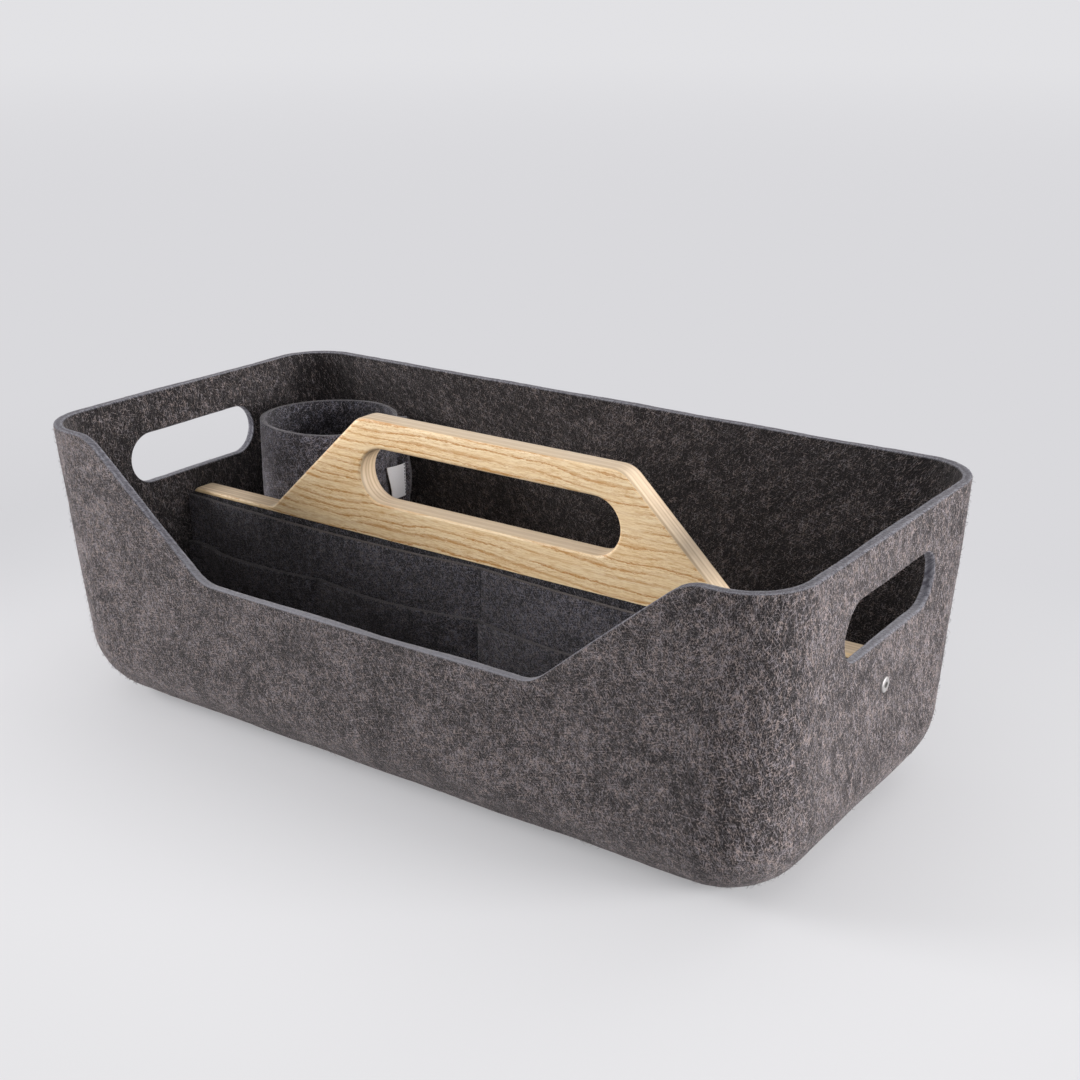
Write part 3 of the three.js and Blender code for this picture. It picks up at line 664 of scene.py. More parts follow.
def dip_height(x):
    """Height of the low front's edge: a floor, two straight slopes and four fillets."""
    x = abs(x)
    rise = TRAY_HEIGHT - DIP_FLOOR
    slope = atan2(rise, DIP_TOP_HALF - DIP_FLOOR_HALF)
    floor_start = DIP_FLOOR_HALF - DIP_FLOOR_FILLET * tan(slope / 2)
    rim_end = DIP_TOP_HALF + DIP_RIM_FILLET * tan(slope / 2)

    def fillet(radius, reach):
        return radius - sqrt(radius ** 2 - max(reach, 0) ** 2)

    if x < floor_start + DIP_FLOOR_FILLET * sin(slope):
        return DIP_FLOOR + fillet(DIP_FLOOR_FILLET, x - floor_start)
    if x > rim_end - DIP_RIM_FILLET * sin(slope):
        return TRAY_HEIGHT - fillet(DIP_RIM_FILLET, rim_end - x)
    return DIP_FLOOR + (x - DIP_FLOOR_HALF) * tan(slope)


def rim_height(column):
    """Where a column ends. Its x depends on its height, so the two are settled in turns."""
    along_x, _, _, out_y = column
    height = TRAY_HEIGHT
    if out_y == -1 and abs(along_x) < 1:
        for _ in range(6):
            x = along_x * (half_length(height) - corner_radius(height))
            height = dip_height(x)
    return height


def tray_level(level, felt):
    """One closed ring of wall places. Levels up to FILLET_STEPS are the foot fillet."""
    radius = FOOT_FILLET - felt
    ring = []
    for column in COLUMNS:
        if level <= FILLET_STEPS:
            angle = pi / 2 * level / FILLET_STEPS
            z = felt + radius * (1 - cos(angle))
            inset = felt + radius * (1 - sin(angle))
        else:
            share = (level - FILLET_STEPS) / WALL_STEPS
            z = FOOT_FILLET + (rim_height(column) - FOOT_FILLET) * share
            inset = felt
        ring.append(tray_point(column, z, inset))
    return ring


def stadium_place(side, share, middle_y, middle_z, reach, radius):
    """A point on a stadium's edge. Sides run foot, right, top, left; share is from -1 to 1."""
    if side in (1, 3):
        straight, angle = reach, pi / 2 + share * pi / 4
    else:
        path = share * (reach + radius * pi / 4)
        straight = min(max(path, -reach), reach)
        angle = (path - straight) / radius
    sign = 1 if side in (0, 1) else -1
    y, z = straight + radius * sin(angle), -radius * cos(angle)
    return middle_y + sign * y, middle_z + sign * z


def wall_patch(grid, side, low, high):
    """The four sides of the wall's patch between two corners in (y, z), and its vertices."""
    middle_z = (low[1] + high[1]) / 2
    places = {
        index: tray_point(column, middle_z, 0).y
        for index, column in enumerate(COLUMNS) if column[2] == side and abs(column[1]) < 1
    }
    columns = [i for i in sorted(places, key=places.get) if low[0] <= places[i] <= high[0]]
    wall_rise = (TRAY_HEIGHT - FOOT_FILLET) / WALL_STEPS
    levels = [
        j for j in range(FILLET_STEPS, len(grid))
        if low[1] <= FOOT_FILLET + wall_rise * (j - FILLET_STEPS) <= high[1]
    ]
    foot = [(i, levels[0]) for i in columns[:-1]]
    right = [(columns[-1], j) for j in levels[:-1]]
    top = [(i, levels[-1]) for i in reversed(columns[1:])]
    left = [(columns[0], j) for j in reversed(levels[1:])]
    inside = {grid[j][i] for i in columns for j in levels}
    return [foot, right, top, left], inside


def pierce(bm, grid, side, felt, low, high, outline):
    """Opens a stadium or round hole in an end wall, and returns the loop at its edge."""
    sides, inside = wall_patch(grid, side, low, high)
    faces = [face for face in bm.faces if all(v in inside for v in face.verts)]
    ops.delete(bm, geom=faces, context="FACES")
    loop, places, halfway = [], [], []
    for index, run in enumerate(sides):
        for step, (column, level) in enumerate(run):
            share = 2 * step / len(run) - 1
            vertex = grid[level][column]
            y, z = stadium_place(index, share, *outline)
            place = Vector((side * half_length(z, felt), y, z))
            loop.append(vertex)
            places.append(place)
            halfway.append((vertex.co + place) / 2)
    ring = extrude_loop(bm, loop, halfway)
    return extrude_loop(bm, ring, places)


def wall_depth(place):
    """How far inside the tray's outer surface a point of the wall is."""
    radius = corner_radius(place.z)
    length, width = half_length(place.z) - radius, half_width(place.z) - radius
    if place.y < 0 and abs(place.x) < length:
        width += front_bow(place.x / length, place.z)
    x, y = abs(place.x) - length, abs(place.y) - width
    return radius - hypot(max(x, 0), max(y, 0)) - min(max(x, y), 0)


def mark_cut(bm, depth_of, felt):
    """Stores where a cut edge shows, and how far across the felt's thickness it is."""
    cut = bm.verts.layers.float["cut"]
    across = bm.verts.layers.float["across"]
    for vertex in bm.verts:
        depth = depth_of(vertex.co)
        if depth is not None:
            vertex[across] = depth / felt
            edge = min(depth, felt - depth)
            vertex[cut] = clamp((edge - 0.02) / 0.35)


def store_painted_shading(bm, shade_of):
    layer = bm.verts.layers.float["shade"]
    for vertex in bm.verts:
        vertex[layer] = shade_of(vertex)


def tray_painted_shading(vertex):
    """How much painted shade darkens the felt: painted shade inside the tray, most in the rear
    corners, and painted light, below 0, that makes the left end of the front paler outside."""
    x, y, z = vertex.co
    if z >= FOOT_FILLET:
        inside = clamp(wall_depth(vertex.co) / TRAY_FELT)
    else:
        inside = 1 if vertex.normal.z > 0 else 0
    # Painted shade: most in the tray's rear corners, less low down and on its floor; painted light
    # on the outside of the front's left end
    rear_corner_shade = ramp(abs(x), 165, 197) * ramp(y, 58, 88)
    left_front_light = ramp(-x, 90, 190) * ramp(-y, 50, 90)
    dark = inside * (0.4 + 0.6 * ease(z / 70)) * (1 + 0.6 * rear_corner_shade)
    return dark - 0.4 * left_front_light * (1 - inside)


def wall_rise(place, normal):
    """How far up the felt a point is: along the foot fillet, up the wall and over its edge."""
    if place.z >= FOOT_FILLET:
        return place.z + wall_depth(place)
    felt = TRAY_FELT if normal.z > 0 else 0
    radius = FOOT_FILLET - felt
    share = clamp((FOOT_FILLET - place.z) / radius)
    return FOOT_FILLET - radius * asin(share) + felt


def tray_lay(place, middle, normal):
    """Place along the wall's run and up it. The run starts at the middle of the front."""
    if abs(normal.z) > 0.93 and middle.z < TRAY_HEIGHT / 2:
        return place.x, place.y + 3 * TRAY_WIDTH
    radius = corner_radius(place.z)
    half_x, half_y = half_length(place.z) - radius, half_width(place.z) - radius
    side = 1 if middle.x > 0 else -1
    x, y = place.x * side, place.y
    half_way = half_x + corner_radius(0) * pi / 2 + half_y
    if x > half_x and abs(y) < half_y:
        run = half_way + y
    else:
        run = x
        if x > half_x:
            run = half_x + atan2(x - half_x, abs(y) - half_y) * corner_radius(0)
        if y >= 0:
            run = 2 * half_way - run
    drawn = ramp(x, half_x - DRAW_EASE, half_x + radius)
    rise = wall_rise(place, normal)
    return run * side, rise + (DRAW_MIDDLE - rise) * END_DRAW * drawn


def press_for_screws(bm):
    """The felt is pressed in round each screw's bore, so the head lies almost flush."""
    for vertex in bm.verts:
        away = hypot(vertex.co.y - SCREW_PLACE_Y, vertex.co.z - SCREW_Z)
        side = copysign(1, vertex.co.x)
        if abs(vertex.co.x) > half_length(vertex.co.z) - TRAY_FELT / 2:
            vertex.co.x -= side * PRESS_DEPTH * (1 - ease((away - BORE_RADIUS) / PRESS_REACH))


def make_tray():
    bm = new_form()
    levels = range(FILLET_STEPS + WALL_STEPS + 1)
    outer = [first_loop(bm, tray_level(0, 0))]
    foot_edges = loop_edges(outer[0])
    for level in levels[1:]:
        outer.append(extrude_loop(bm, outer[-1], tray_level(level, 0)))
    inner = [extrude_loop(bm, outer[-1], tray_level(levels[-1], TRAY_FELT))]
    for level in reversed(levels[:-1]):
        inner.append(extrude_loop(bm, inner[-1], tray_level(level, TRAY_FELT)))
    floor_edges = loop_edges(inner[-1])
    cut_loops = [outer[-1], inner[0]]
    inner.reverse()
    for edges in (foot_edges, floor_edges):
        ops.contextual_create(bm, geom=edges)
    for side in (1, -1):
        for low, high, outline in (
            ((-58, 95), (58, 137), HAND_SLOT),
            ((-9, 67), (12, 88), (SCREW_PLACE_Y, SCREW_Z, 0, BORE_RADIUS)),
        ):
            outside = pierce(bm, outer, side, 0, low, high, outline)
            inside = pierce(bm, inner, side, TRAY_FELT, low, high, outline)
            ops.bridge_loops(bm, edges=loop_edges(outside) + loop_edges(inside))
            if outline is HAND_SLOT:
                cut_loops += [outside, inside]
    face_outwards(bm)
    bm.normal_update()
    round_off(bm, [edge for loop in cut_loops for edge in loop_edges(loop)], BEVEL)

    def depth_of(place):
        if place.z < FOOT_FILLET + 2:
            return None
        return clamp(wall_depth(place), TRAY_FELT)

    mark_cut(bm, depth_of, TRAY_FELT)
    store_painted_shading(bm, tray_painted_shading)
    lay_out(bm, tray_lay)
    uneven(bm, 0.55, 0.13, 3.1)
    press_for_screws(bm)
    new_piece("moulded_felt_tray", bm, TRAY_FELT_LOOK, "caddy", "tray_felt", "felt_tray")


make_tray()


def outer_place(column, z):
    """A place on the tray's outside, and its normal."""
    _, _, out_x, out_y = column
    lean = acos(1 - z / FOOT_FILLET) if z < FOOT_FILLET else pi / 2
    place = tray_point(column, z, FOOT_FILLET * (1 - sin(lean)))
    return place, Vector((out_x * sin(lean), out_y * sin(lean), -cos(lean)))


HAIRS = 6500
HAIR_STEPS = 3
HAIR_RADIUS = 0.09
HAIR_LENGTHS = (1.0, 2.6)
HAIR_STANDS = (0.3, 0.8)
ROOT_DEPTH = 0.6


def over_hand_slot(place, normal):
    _, middle_z, reach, radius = HAND_SLOT
    near = abs(place.y) < reach + radius and abs(place.z - middle_z) < radius
    return abs(normal.x) > 0.9 and near


def make_loose_hairs():
    """Single wool hairs that stand off the outside, mostly round the corners."""
    chance = random.Random(7)
    corners = [column for column in COLUMNS if column[2] and column[3]]
    curve = bpy.data.curves.new("loose_hairs", "CURVE")
    curve.dimensions = "3D"
    curve.bevel_depth = HAIR_RADIUS * MM
    curve.bevel_resolution = 0
    curve.use_fill_caps = True
    for number in range(HAIRS):
        column = chance.choice(corners if number % 3 else COLUMNS)
        place, normal = outer_place(column, chance.uniform(3, rim_height(column) - 1))
        if over_hand_slot(place, normal):
            continue
        along = Vector([chance.gauss(0, 1) for _ in range(3)]).cross(normal).normalized()
        length = chance.uniform(*HAIR_LENGTHS)
        stand = chance.uniform(*HAIR_STANDS)
        spline = curve.splines.new("POLY")
        spline.points.add(HAIR_STEPS)
        for step, point in enumerate(spline.points):
            share = step / HAIR_STEPS
            rise = sin(share * pi * 0.6) * stand * length - ROOT_DEPTH
            where = place + along * (share * length) + normal * rise
            where.z = max(where.z, HAIR_RADIUS)
            point.co = (*(where * MM), 1)
            point.radius = 1 - 0.8 * share
    holder = add_object("loose_hairs", curve)
    bm = bmesh.new()
    bm.from_mesh(holder.to_mesh())
    holder.to_mesh_clear()
    bpy.data.objects.remove(holder)
    ops.remove_doubles(bm, verts=bm.verts, dist=0.00001 * MM)
    face_outwards(bm)
    ops.scale(bm, vec=(1 / MM, 1 / MM, 1 / MM), verts=bm.verts)
    new_piece("loose_wool_hairs", bm, LOOSE_WOOL_LOOK, "caddy", "tray_felt")


make_loose_hairs()


# Handle board

ARC_STEPS = 10
ROUND_STEPS = 6


def board_corners():
    """Corner, fillet radius and whether it is hollow, anticlockwise seen from the front."""
    def end(z):
        return half_length(z, TRAY_FELT) - SHEET_GAP

    right = [
        (end(RAIL_FOOT), RAIL_FOOT, 3, False),
        (end(RAIL_TOP), RAIL_TOP, 6, False),
        (HANDLE_FOOT_HALF, RAIL_TOP, 9, True),
        (HANDLE_TOP_HALF, HANDLE_TOP, 14, False),
    ]
    left = [(-x, z, radius, hollow) for x, z, radius, hollow in reversed(right)]
    return right + left


def board_outline(inset):
    """The board's outline, drawn in by an inset. Fillets keep their centres."""
    corners = board_corners()
    points = []
    for index, (x, z, radius, hollow) in enumerate(corners):
        corner = Vector((x, z))
        before = Vector(corners[index - 1][:2]) - corner
        after = Vector(corners[(index + 1) % len(corners)][:2]) - corner
        before.normalize()
        after.normalize()
        half = before.angle(after) / 2
        middle = (before + after).normalized()
        centre = corner + middle * (radius / sin(half))
        start = (corner + before * (radius / tan(half)) - centre).normalized()
        end = (corner + after * (radius / tan(half)) - centre).normalized()
        size = radius + inset if hollow else radius - inset
        for step in range(ARC_STEPS + 1):
            points.append(centre + start.slerp(end, step / ARC_STEPS) * size)
    return points


def grip_outline(inset):
    points = []
    radius = GRIP_RADIUS + inset
    for sign in (1, -1):
        for right, up in arc(-pi / 2, pi / 2, 2 * ARC_STEPS):
            x, z = sign * (GRIP_REACH + radius * right), GRIP_Z + sign * radius * up
            points.append(Vector((x, z)))
    return points


def roundover_levels():
    """(y, inset) pairs from the front face round both edges to the back face."""
    levels = []
    for left, up in arc(0, pi / 2, ROUND_STEPS):
        levels.append((ROUNDOVER * (1 - up) - BOARD_HALF, ROUNDOVER * (1 - left)))
    return levels[::-1] + [(-y, inset) for y, inset in levels]


def make_board():
    bm = new_form()
    caps = [], []
    for outline in (board_outline, grip_outline):
        first, *rest = [
            [Vector((p.x, y, p.y)) for p in outline(inset)] for y, inset in roundover_levels()
        ]
        loop = first_loop(bm, first)
        caps[0].extend(loop_edges(loop))
        for ring in rest:
            loop = extrude_loop(bm, loop, ring)
        caps[1].extend(loop_edges(loop))
    for edges in caps:
        ops.triangle_fill(bm, use_beauty=True, use_dissolve=False, edges=edges)
    face_outwards(bm)
    board = new_piece("ash_handle_board", bm, BOARD_LOOK, "caddy", "board_wood", "handle_board")
    subtract(board, rebate_cutter())
    for side in (1, -1):
        subtract(board, bore_cutter(side))


def rebate_cutter():
    """A box where the front of the rail makes way for the divider."""
    bm = bmesh.new()
    ops.create_cube(bm, size=1)
    low, high = Vector((-230, -20, 40)), Vector((230, REBATE_FACE, REBATE_TOP))
    ops.scale(bm, vec=high - low, verts=bm.verts)
    ops.translate(bm, vec=(low + high) / 2, verts=bm.verts)
    return bm


def bore_cutter(side):
    """A rod where the insert goes into one end of the board."""
    half, radius = 20, INSERT_RADIUS
    bm = bmesh.new()
    ops.create_cone(
        bm, cap_ends=True, segments=32, radius1=radius, radius2=radius, depth=2 * half
    )
    ops.rotate(bm, matrix=Matrix.Rotation(radians(90), 3, "Y"), verts=bm.verts)
    reach = half_length(SCREW_Z) - INSERT_DEPTH + half
    ops.translate(bm, vec=(side * reach, SCREW_PLACE_Y, SCREW_Z), verts=bm.verts)
    return bm


def subtract(piece, bm):
    """Takes a form in millimetres out of a finished piece."""
    cutter = add_object("cutter", to_mesh("cutter", bm))
    modifier = piece.modifiers.new("cut", "BOOLEAN")
    modifier.operation = "DIFFERENCE"
    modifier.solver = "EXACT"
    modifier.object = cutter
    graph = bpy.context.evaluated_depsgraph_get()
    cut = bpy.data.meshes.new_from_object(piece.evaluated_get(graph))
    piece.modifiers.remove(modifier)
    piece.data = cut
    piece.data.set_sharp_from_angle(angle=radians(35))
    bpy.data.objects.remove(cutter)


make_board()


# Divider: backing and pocket sheets

def divider_reach(z):
    """Half the length of the divider at a height, inside the tray's ends and foot fillets."""
    radius = FOOT_FILLET - TRAY_FELT
    climb = clamp(z - DIVIDER_FOOT, radius)
    inset = radius - sqrt(climb * (2 * radius - climb))
    return half_length(z, TRAY_FELT) - inset - 0.6


POCKET_HALF = divider_reach(TALL_TOP)
LOW_SEAM_X = POCKET_HALF / 2


def sewn_edge(z):
    return divider_reach(z) - 2 * EDGE_SEAM_INSET


def belly(x, z, pitch, top):
    """How far a pocket stands open, from 0 at its seams to 1 in the middle of its top."""
    rise = clamp((z - BELLY_FOOT) / (top - BELLY_FOOT))
    free = ease((sewn_edge(z) - abs(x)) / BELLY_RUN_OUT)
    return free * abs(sin(pi * x / pitch)) * sin(pi / 2 * rise)


def tall_back(x, z):
    gape = TALL_GAPE if x > 0 else TALL_GAPE_LEFT
    return -BOARD_HALF - SHEET_GAP - gape * belly(x, z, POCKET_HALF, TALL_TOP)


def low_back(x, z):
    front = tall_back(x, z) - SHEET
    return front - SHEET_GAP - LOW_GAPE * belly(x, z, LOW_SEAM_X, LOW_TOP)


def backing_back(x, z):
    """The backing is flat, so its back is the same everywhere."""
    return -BOARD_HALF + SHEET


def pinch(x, z, seams):
    """How far the thread pulls the front of a sheet in beside its seams."""
    aways = [x - seam for seam in seams]
    aways += [divider_reach(z) - EDGE_SEAM_INSET - abs(x), z - FOOT_SEAM_Z]
    return PINCH_DEPTH * max(exp(-(away / PINCH_WIDTH) ** 2) for away in aways)


SHEET_COLUMNS = 150
SHEET_ROWS = 34
PINCH_DEPTH = 0.75
PINCH_WIDTH = 1.6


def make_sheet(name, back, top, seams, seed, node, shade=0.0):
    """One felt sheet of the divider. The shade is painted shade, for the backing that lies deep in
    the pockets.
    """
    bm = new_form()
    ops.create_grid(
        bm, x_segments=SHEET_COLUMNS, y_segments=SHEET_ROWS, size=1,
        matrix=Matrix.Rotation(radians(90), 4, "X"),
    )
    for vertex in bm.verts:
        share = (vertex.co.z + 1) / 2
        z = DIVIDER_FOOT + (top - DIVIDER_FOOT) * share ** 1.25
        x = vertex.co.x * divider_reach(z)
        vertex.co = Vector((x, back(x, z), z))
    face_outwards(bm)
    for vertex in only_verts(ops.extrude_face_region(bm, geom=bm.faces[:])["geom"]):
        x, _, z = vertex.co
        vertex.co.y -= SHEET - pinch(x, z, seams)
    face_outwards(bm)
    round_off(bm, sharp_edges(bm), 0.6)

    def depth_of(place):
        x, y, z = place
        near_top = z > top - 0.7
        near_end = abs(x) > divider_reach(z) - 0.7
        if not (near_top or near_end):
            return None
        return clamp(back(x, z) - y, SHEET)

    mark_cut(bm, depth_of, SHEET)
    store_painted_shading(bm, lambda _: shade)
    lay_out(bm, lambda place, *_: (place.x + seed * 50, place.z - place.y))
    uneven(bm, 0.35, 0.1, seed)
    piece = new_piece(name, bm, LINING_LOOK, "caddy", "lining_felt", node)


# The backing gets painted shade, as it lies deep in the pockets
make_sheet("felt_backing", backing_back, BACKING_TOP, (), 1.7, "divider_backing", shade=1.2)
make_sheet("tall_pocket_sheet", tall_back, TALL_TOP, (0,), 5.3, "tall_pocket")
make_sheet(
    "low_pocket_sheet", low_back, LOW_TOP, (0, LOW_SEAM_X, -LOW_SEAM_X), 8.9, "low_pocket"
)


# Pen cup

def sleeve_path():
    """The middle of the felt strip, seen from above: a round with both ends turned out."""
    middle = CUP_RADIUS - CUP_FELT / 2
    half = CUP_FELT / 2 + 0.04
    bend = 2.6
    fin_steps, bend_steps, round_steps = 4, 7, 110
    foot_angle = asin((half + bend) / (middle + bend))
    bend_centre = Vector(((middle + bend) * cos(foot_angle), half + bend))
    path = [Vector((x, half)) for x in steps_between(FIN_TIP, bend_centre.x, fin_steps)]
    for out in arc(-pi / 2, foot_angle - pi, bend_steps)[1:]:
        path.append(bend_centre + bend * Vector(out))
    first_end = [Vector((p.x, -p.y)) for p in reversed(path)]
    for out in arc(foot_angle, 2 * pi - foot_angle, round_steps)[1:-1]:
        path.append(middle * Vector(out))
    return path + first_end


def rim_wave(place):
    """How much higher the cup's rim is cut on one side than on average."""
    return CUP_RIM_WAVE * sin(2 * atan2(place.y, place.x) + 0.6)


def offset_path(path, distance):
    """The path moved sideways by a distance, for the two faces of the felt strip."""
    moved = []
    for index, point in enumerate(path):
        before = path[max(index - 1, 0)]
        after = path[min(index + 1, len(path) - 1)]
        along = (after - before).normalized()
        moved.append(point + Vector((along.y, -along.x)) * distance)
    return moved


def make_cup_sleeve():
    """One felt strip rolled into a tube, with both ends turned out into a sewn fin."""
    path = sleeve_path()
    outline = offset_path(path, -CUP_FELT / 2) + offset_path(path, CUP_FELT / 2)[::-1]
    turn = Matrix.Rotation(FIN_TURN, 4, "Z")
    bm = new_form()
    rows = 26
    low, high = CUP_JOIN + 0.3, CUP_HEIGHT + CUP_RIM_RISE

    def ring(z):
        """One ring of the strip. Its rim is cut unevenly, and the tag pulls the fin out."""
        places = []
        share = (z - low) / (high - low)
        for p in outline:
            wave = rim_wave(p) * share
            by_tag = exp(-((z - TAG_MIDDLE) / 11) ** 2)
            pull = 1 + 0.04 * ramp(p.length, CUP_RADIUS, CUP_RADIUS + 4) * by_tag
            places.append(turn @ Vector((p.x * pull, p.y, z + wave)) + CUP_PLACE)
        return places

    first = last = first_loop(bm, ring(low))
    for z in steps_between(low, high, rows)[1:]:
        last = extrude_loop(bm, last, ring(z))
    for cap in (first, last):
        close_strip(bm, cap, len(path))
    face_outwards(bm)
    round_off(bm, sharp_edges(bm), 0.55)

    def depth_of(place):
        local = turn.inverted() @ (place - CUP_PLACE)
        if local.x > FIN_TIP - 0.65:
            return min(abs(abs(local.y) - 0.04), CUP_FELT)
        if local.z <= high + rim_wave(local) - 0.65:
            return None
        if local.x > CUP_RADIUS and abs(local.y) < CUP_FELT + 0.2:
            return min(abs(local.y), CUP_FELT)
        return clamp(CUP_RADIUS - local.xy.length, CUP_FELT)

    def sleeve_lay(place, middle, _):
        local = turn.inverted() @ (place - CUP_PLACE)
        centre = turn.inverted() @ (middle - CUP_PLACE)
        if centre.x > CUP_RADIUS and abs(centre.y) < 2 * CUP_FELT:
            return local.x + local.y, local.z
        angle = atan2(local.y, local.x)
        if centre.y < 0 < angle:
            angle -= 2 * pi
        elif angle < 0 < centre.y:
            angle += 2 * pi
        return angle * CUP_RADIUS + local.xy.length, local.z

    # Painted shade on the cup's inside, easing in across its felt
    def cup_painted_shade(vertex):
        away = (vertex.co - CUP_PLACE).xy.length
        return CUP_PAINTED_SHADE * ease((CUP_RADIUS - away) / CUP_FELT)

    mark_cut(bm, depth_of, CUP_FELT)
    store_painted_shading(bm, cup_painted_shade)
    lay_out(bm, sleeve_lay)
    uneven(bm, 0.3, 0.1, 12.7)
    new_piece("pen_cup_sleeve", bm, CUP_LOOK, "pen_cup", "lining_felt", "cup_sleeve")


def close_strip(bm, loop, count):
    """Fills the end of the felt strip, face by face across its thickness."""
    outside, inside = loop[:count], list(reversed(loop[count:]))
    for index in range(count - 1):
        bm.faces.new((outside[index], outside[index + 1], inside[index + 1], inside[index]))


make_cup_sleeve()


def make_cup_base():
    """The felt foot of the cup: a pressed dish with a soft lower edge, spun from its profile."""
    bm = new_form()
    flat = CUP_RADIUS - CUP_FOOT_RADIUS

    def face_of(felt):
        """The dish's lower or upper face from the middle outwards, felt above its foot."""
        points = [(0, felt), (flat * 0.5, felt)]
        radius = CUP_FOOT_RADIUS - felt
        for down, out in arc(0, pi / 2, 12):
            points.append((flat + radius * out, felt + radius - radius * down))
        return points

    inner = CUP_RADIUS - CUP_FELT
    edge = [
        (CUP_RADIUS, CUP_JOIN - 0.5), (CUP_RADIUS - 0.5, CUP_JOIN),
        (inner + 0.5, CUP_JOIN), (inner, CUP_JOIN - 0.5),
    ]
    profile = face_of(0) + edge + face_of(CUP_FELT)[::-1]
    verts = [bm.verts.new((radius, 0, z)) for radius, z in profile]
    edges = [bm.edges.new(pair) for pair in zip(verts, verts[1:])]
    ops.spin(
        bm, geom=verts + edges, cent=(0, 0, 0), axis=(0, 0, 1), dvec=(0, 0, 0),
        angle=2 * pi, steps=96, use_merge=True, use_duplicate=False,
    )
    ops.remove_doubles(bm, verts=bm.verts, dist=0.001)
    face_outwards(bm)
    ops.translate(bm, vec=CUP_PLACE, verts=bm.verts)
    lay_out(bm, lambda place, *_: (place.x + place.z, place.y - place.z))
    uneven(bm, 0.2, 0.08, 15.1)
    new_piece("pen_cup_base", bm, CUP_LOOK, "pen_cup", "lining_felt", "cup_base")


make_cup_base()


# Stitches

STITCH_RADIUS = 0.36
STITCH_LENGTH = 2.9
STITCH_PITCH = 3.7


def spaced(path, pitch=STITCH_PITCH):
    """Places a pitch apart along a line of points, each with its direction."""
    places = []
    left = pitch / 2
    for start, end in zip(path, path[1:]):
        along = end - start
        length = along.length
        along /= length
        while left <= length:
            places.append((start + along * left, along))
            left += pitch
        left -= length
    return places


def make_stitches(name, places, body, node, length=STITCH_LENGTH):
    """One piece with a stitch at each place, as a grain of thread along its direction."""
    bm = new_form()
    for place, along in places:
        stitch = ops.create_uvsphere(bm, u_segments=6, v_segments=6, radius=1)["verts"]
        size = Matrix.Diagonal((STITCH_RADIUS, STITCH_RADIUS, length / 2, 1))
        turn = Matrix.Translation(place) @ facing(along) @ size
        ops.transform(bm, matrix=turn, verts=stitch)
    new_piece(name, bm, THREAD_LOOK, body, "thread", node)


def pocket_front(x, z):
    """A point of the divider's sewn front, in the groove that a seam pulls in."""
    back = low_back(x, z) if z < LOW_TOP else tall_back(x, z)
    return Vector((x, back - SHEET + 0.6, z))


def upright_seam(x, top):
    return [pocket_front(x, z) for z in steps_between(FOOT_SEAM_Z + 1, top, 24)]


def edge_seam(side, top):
    """Down one end of the pocket sheets, a little inside their edge."""
    heights = steps_between(top, FOOT_SEAM_Z, 40)
    return [pocket_front(side * (divider_reach(z) - EDGE_SEAM_INSET), z) for z in heights]


for seam_name, seam_x, seam_top, seam_node in (
    ("centre_stitches", 0, TALL_TOP - 0.5, "centre_seam_thread"),
    ("right_stitches", LOW_SEAM_X, LOW_TOP - 0.5, "right_seam_thread"),
    ("left_stitches", -LOW_SEAM_X, LOW_TOP - 0.5, "left_seam_thread"),
):
    make_stitches(seam_name, spaced(upright_seam(seam_x, seam_top)), "caddy", seam_node)

round_the_edge = edge_seam(-1, TALL_TOP - 0.5) + edge_seam(1, TALL_TOP - 0.5)[::-1]
make_stitches("edge_stitches", spaced(round_the_edge), "caddy", "edge_seam_thread")


def make_cup_stitches():
    fin = Matrix.Rotation(FIN_TURN, 3, "Z")
    side = [
        CUP_PLACE + fin @ Vector((CUP_RADIUS + 2.5, -CUP_FELT - 0.15, z))
        for z in (CUP_JOIN + 1, CUP_HEIGHT - 0.7)
    ]
    make_stitches("fin_stitches", spaced(side), "pen_cup", "cup_side_thread")
    places = []
    for out in circle_places(60, 1, 0):
        place = CUP_PLACE + out * (CUP_RADIUS - CUP_FELT - 0.2)
        place.z += CUP_JOIN + 0.15
        places.append((place, Vector((-0.45 * out.y, 0.45 * out.x, 1)).normalized()))
    make_stitches("foot_stitches", places, "pen_cup", "cup_foot_thread", length=3.4)


make_cup_stitches()


# Woven tag, caught in the cup's fin and a little askew

def make_tag():
    """A rectangle of tape whose one side is sewn to the fin; the other just clears the cup."""
    sewn_foot, sewn_top = Vector((38.2, 20.2, 79)), Vector((39.2, 18.6, 98.6))
    free_foot, free_top = Vector((40.4, 5.8, 80.6)), Vector((40.6, 1.6, 100.1))

    def tag_place(u, v, lift):
        """u runs from the fin to the free end, v runs up."""
        sewn = sewn_foot.lerp(sewn_top, v)
        place = sewn.lerp(free_foot.lerp(free_top, v), u)
        curl = 0.7 * sin(pi * u) + 0.3 * u * sin(5 * v) + lift
        return CUP_PLACE + place + Vector((curl, 0.15 * curl, 0))

    bm = new_form()
    ops.create_grid(bm, x_segments=16, y_segments=18, size=1)
    for vertex in bm.verts:
        vertex.co = tag_place((vertex.co.x + 1) / 2, (vertex.co.y + 1) / 2, 0)
    face_outwards(bm)
    ops.solidify(bm, geom=bm.faces[:], thickness=0.4)
    face_outwards(bm)
    tag = new_piece("woven_tag", bm, TAG_LOOK, "pen_cup", "tag_tape", "cup_tag")
    line = [tag_place(0.07, v, 0.35) for v in (0.04, 0.96)]
    make_stitches("tag_stitches", spaced(line, 1.9), "pen_cup", "tag_thread", length=1.5)


make_tag()


# Screws through the end walls into the board

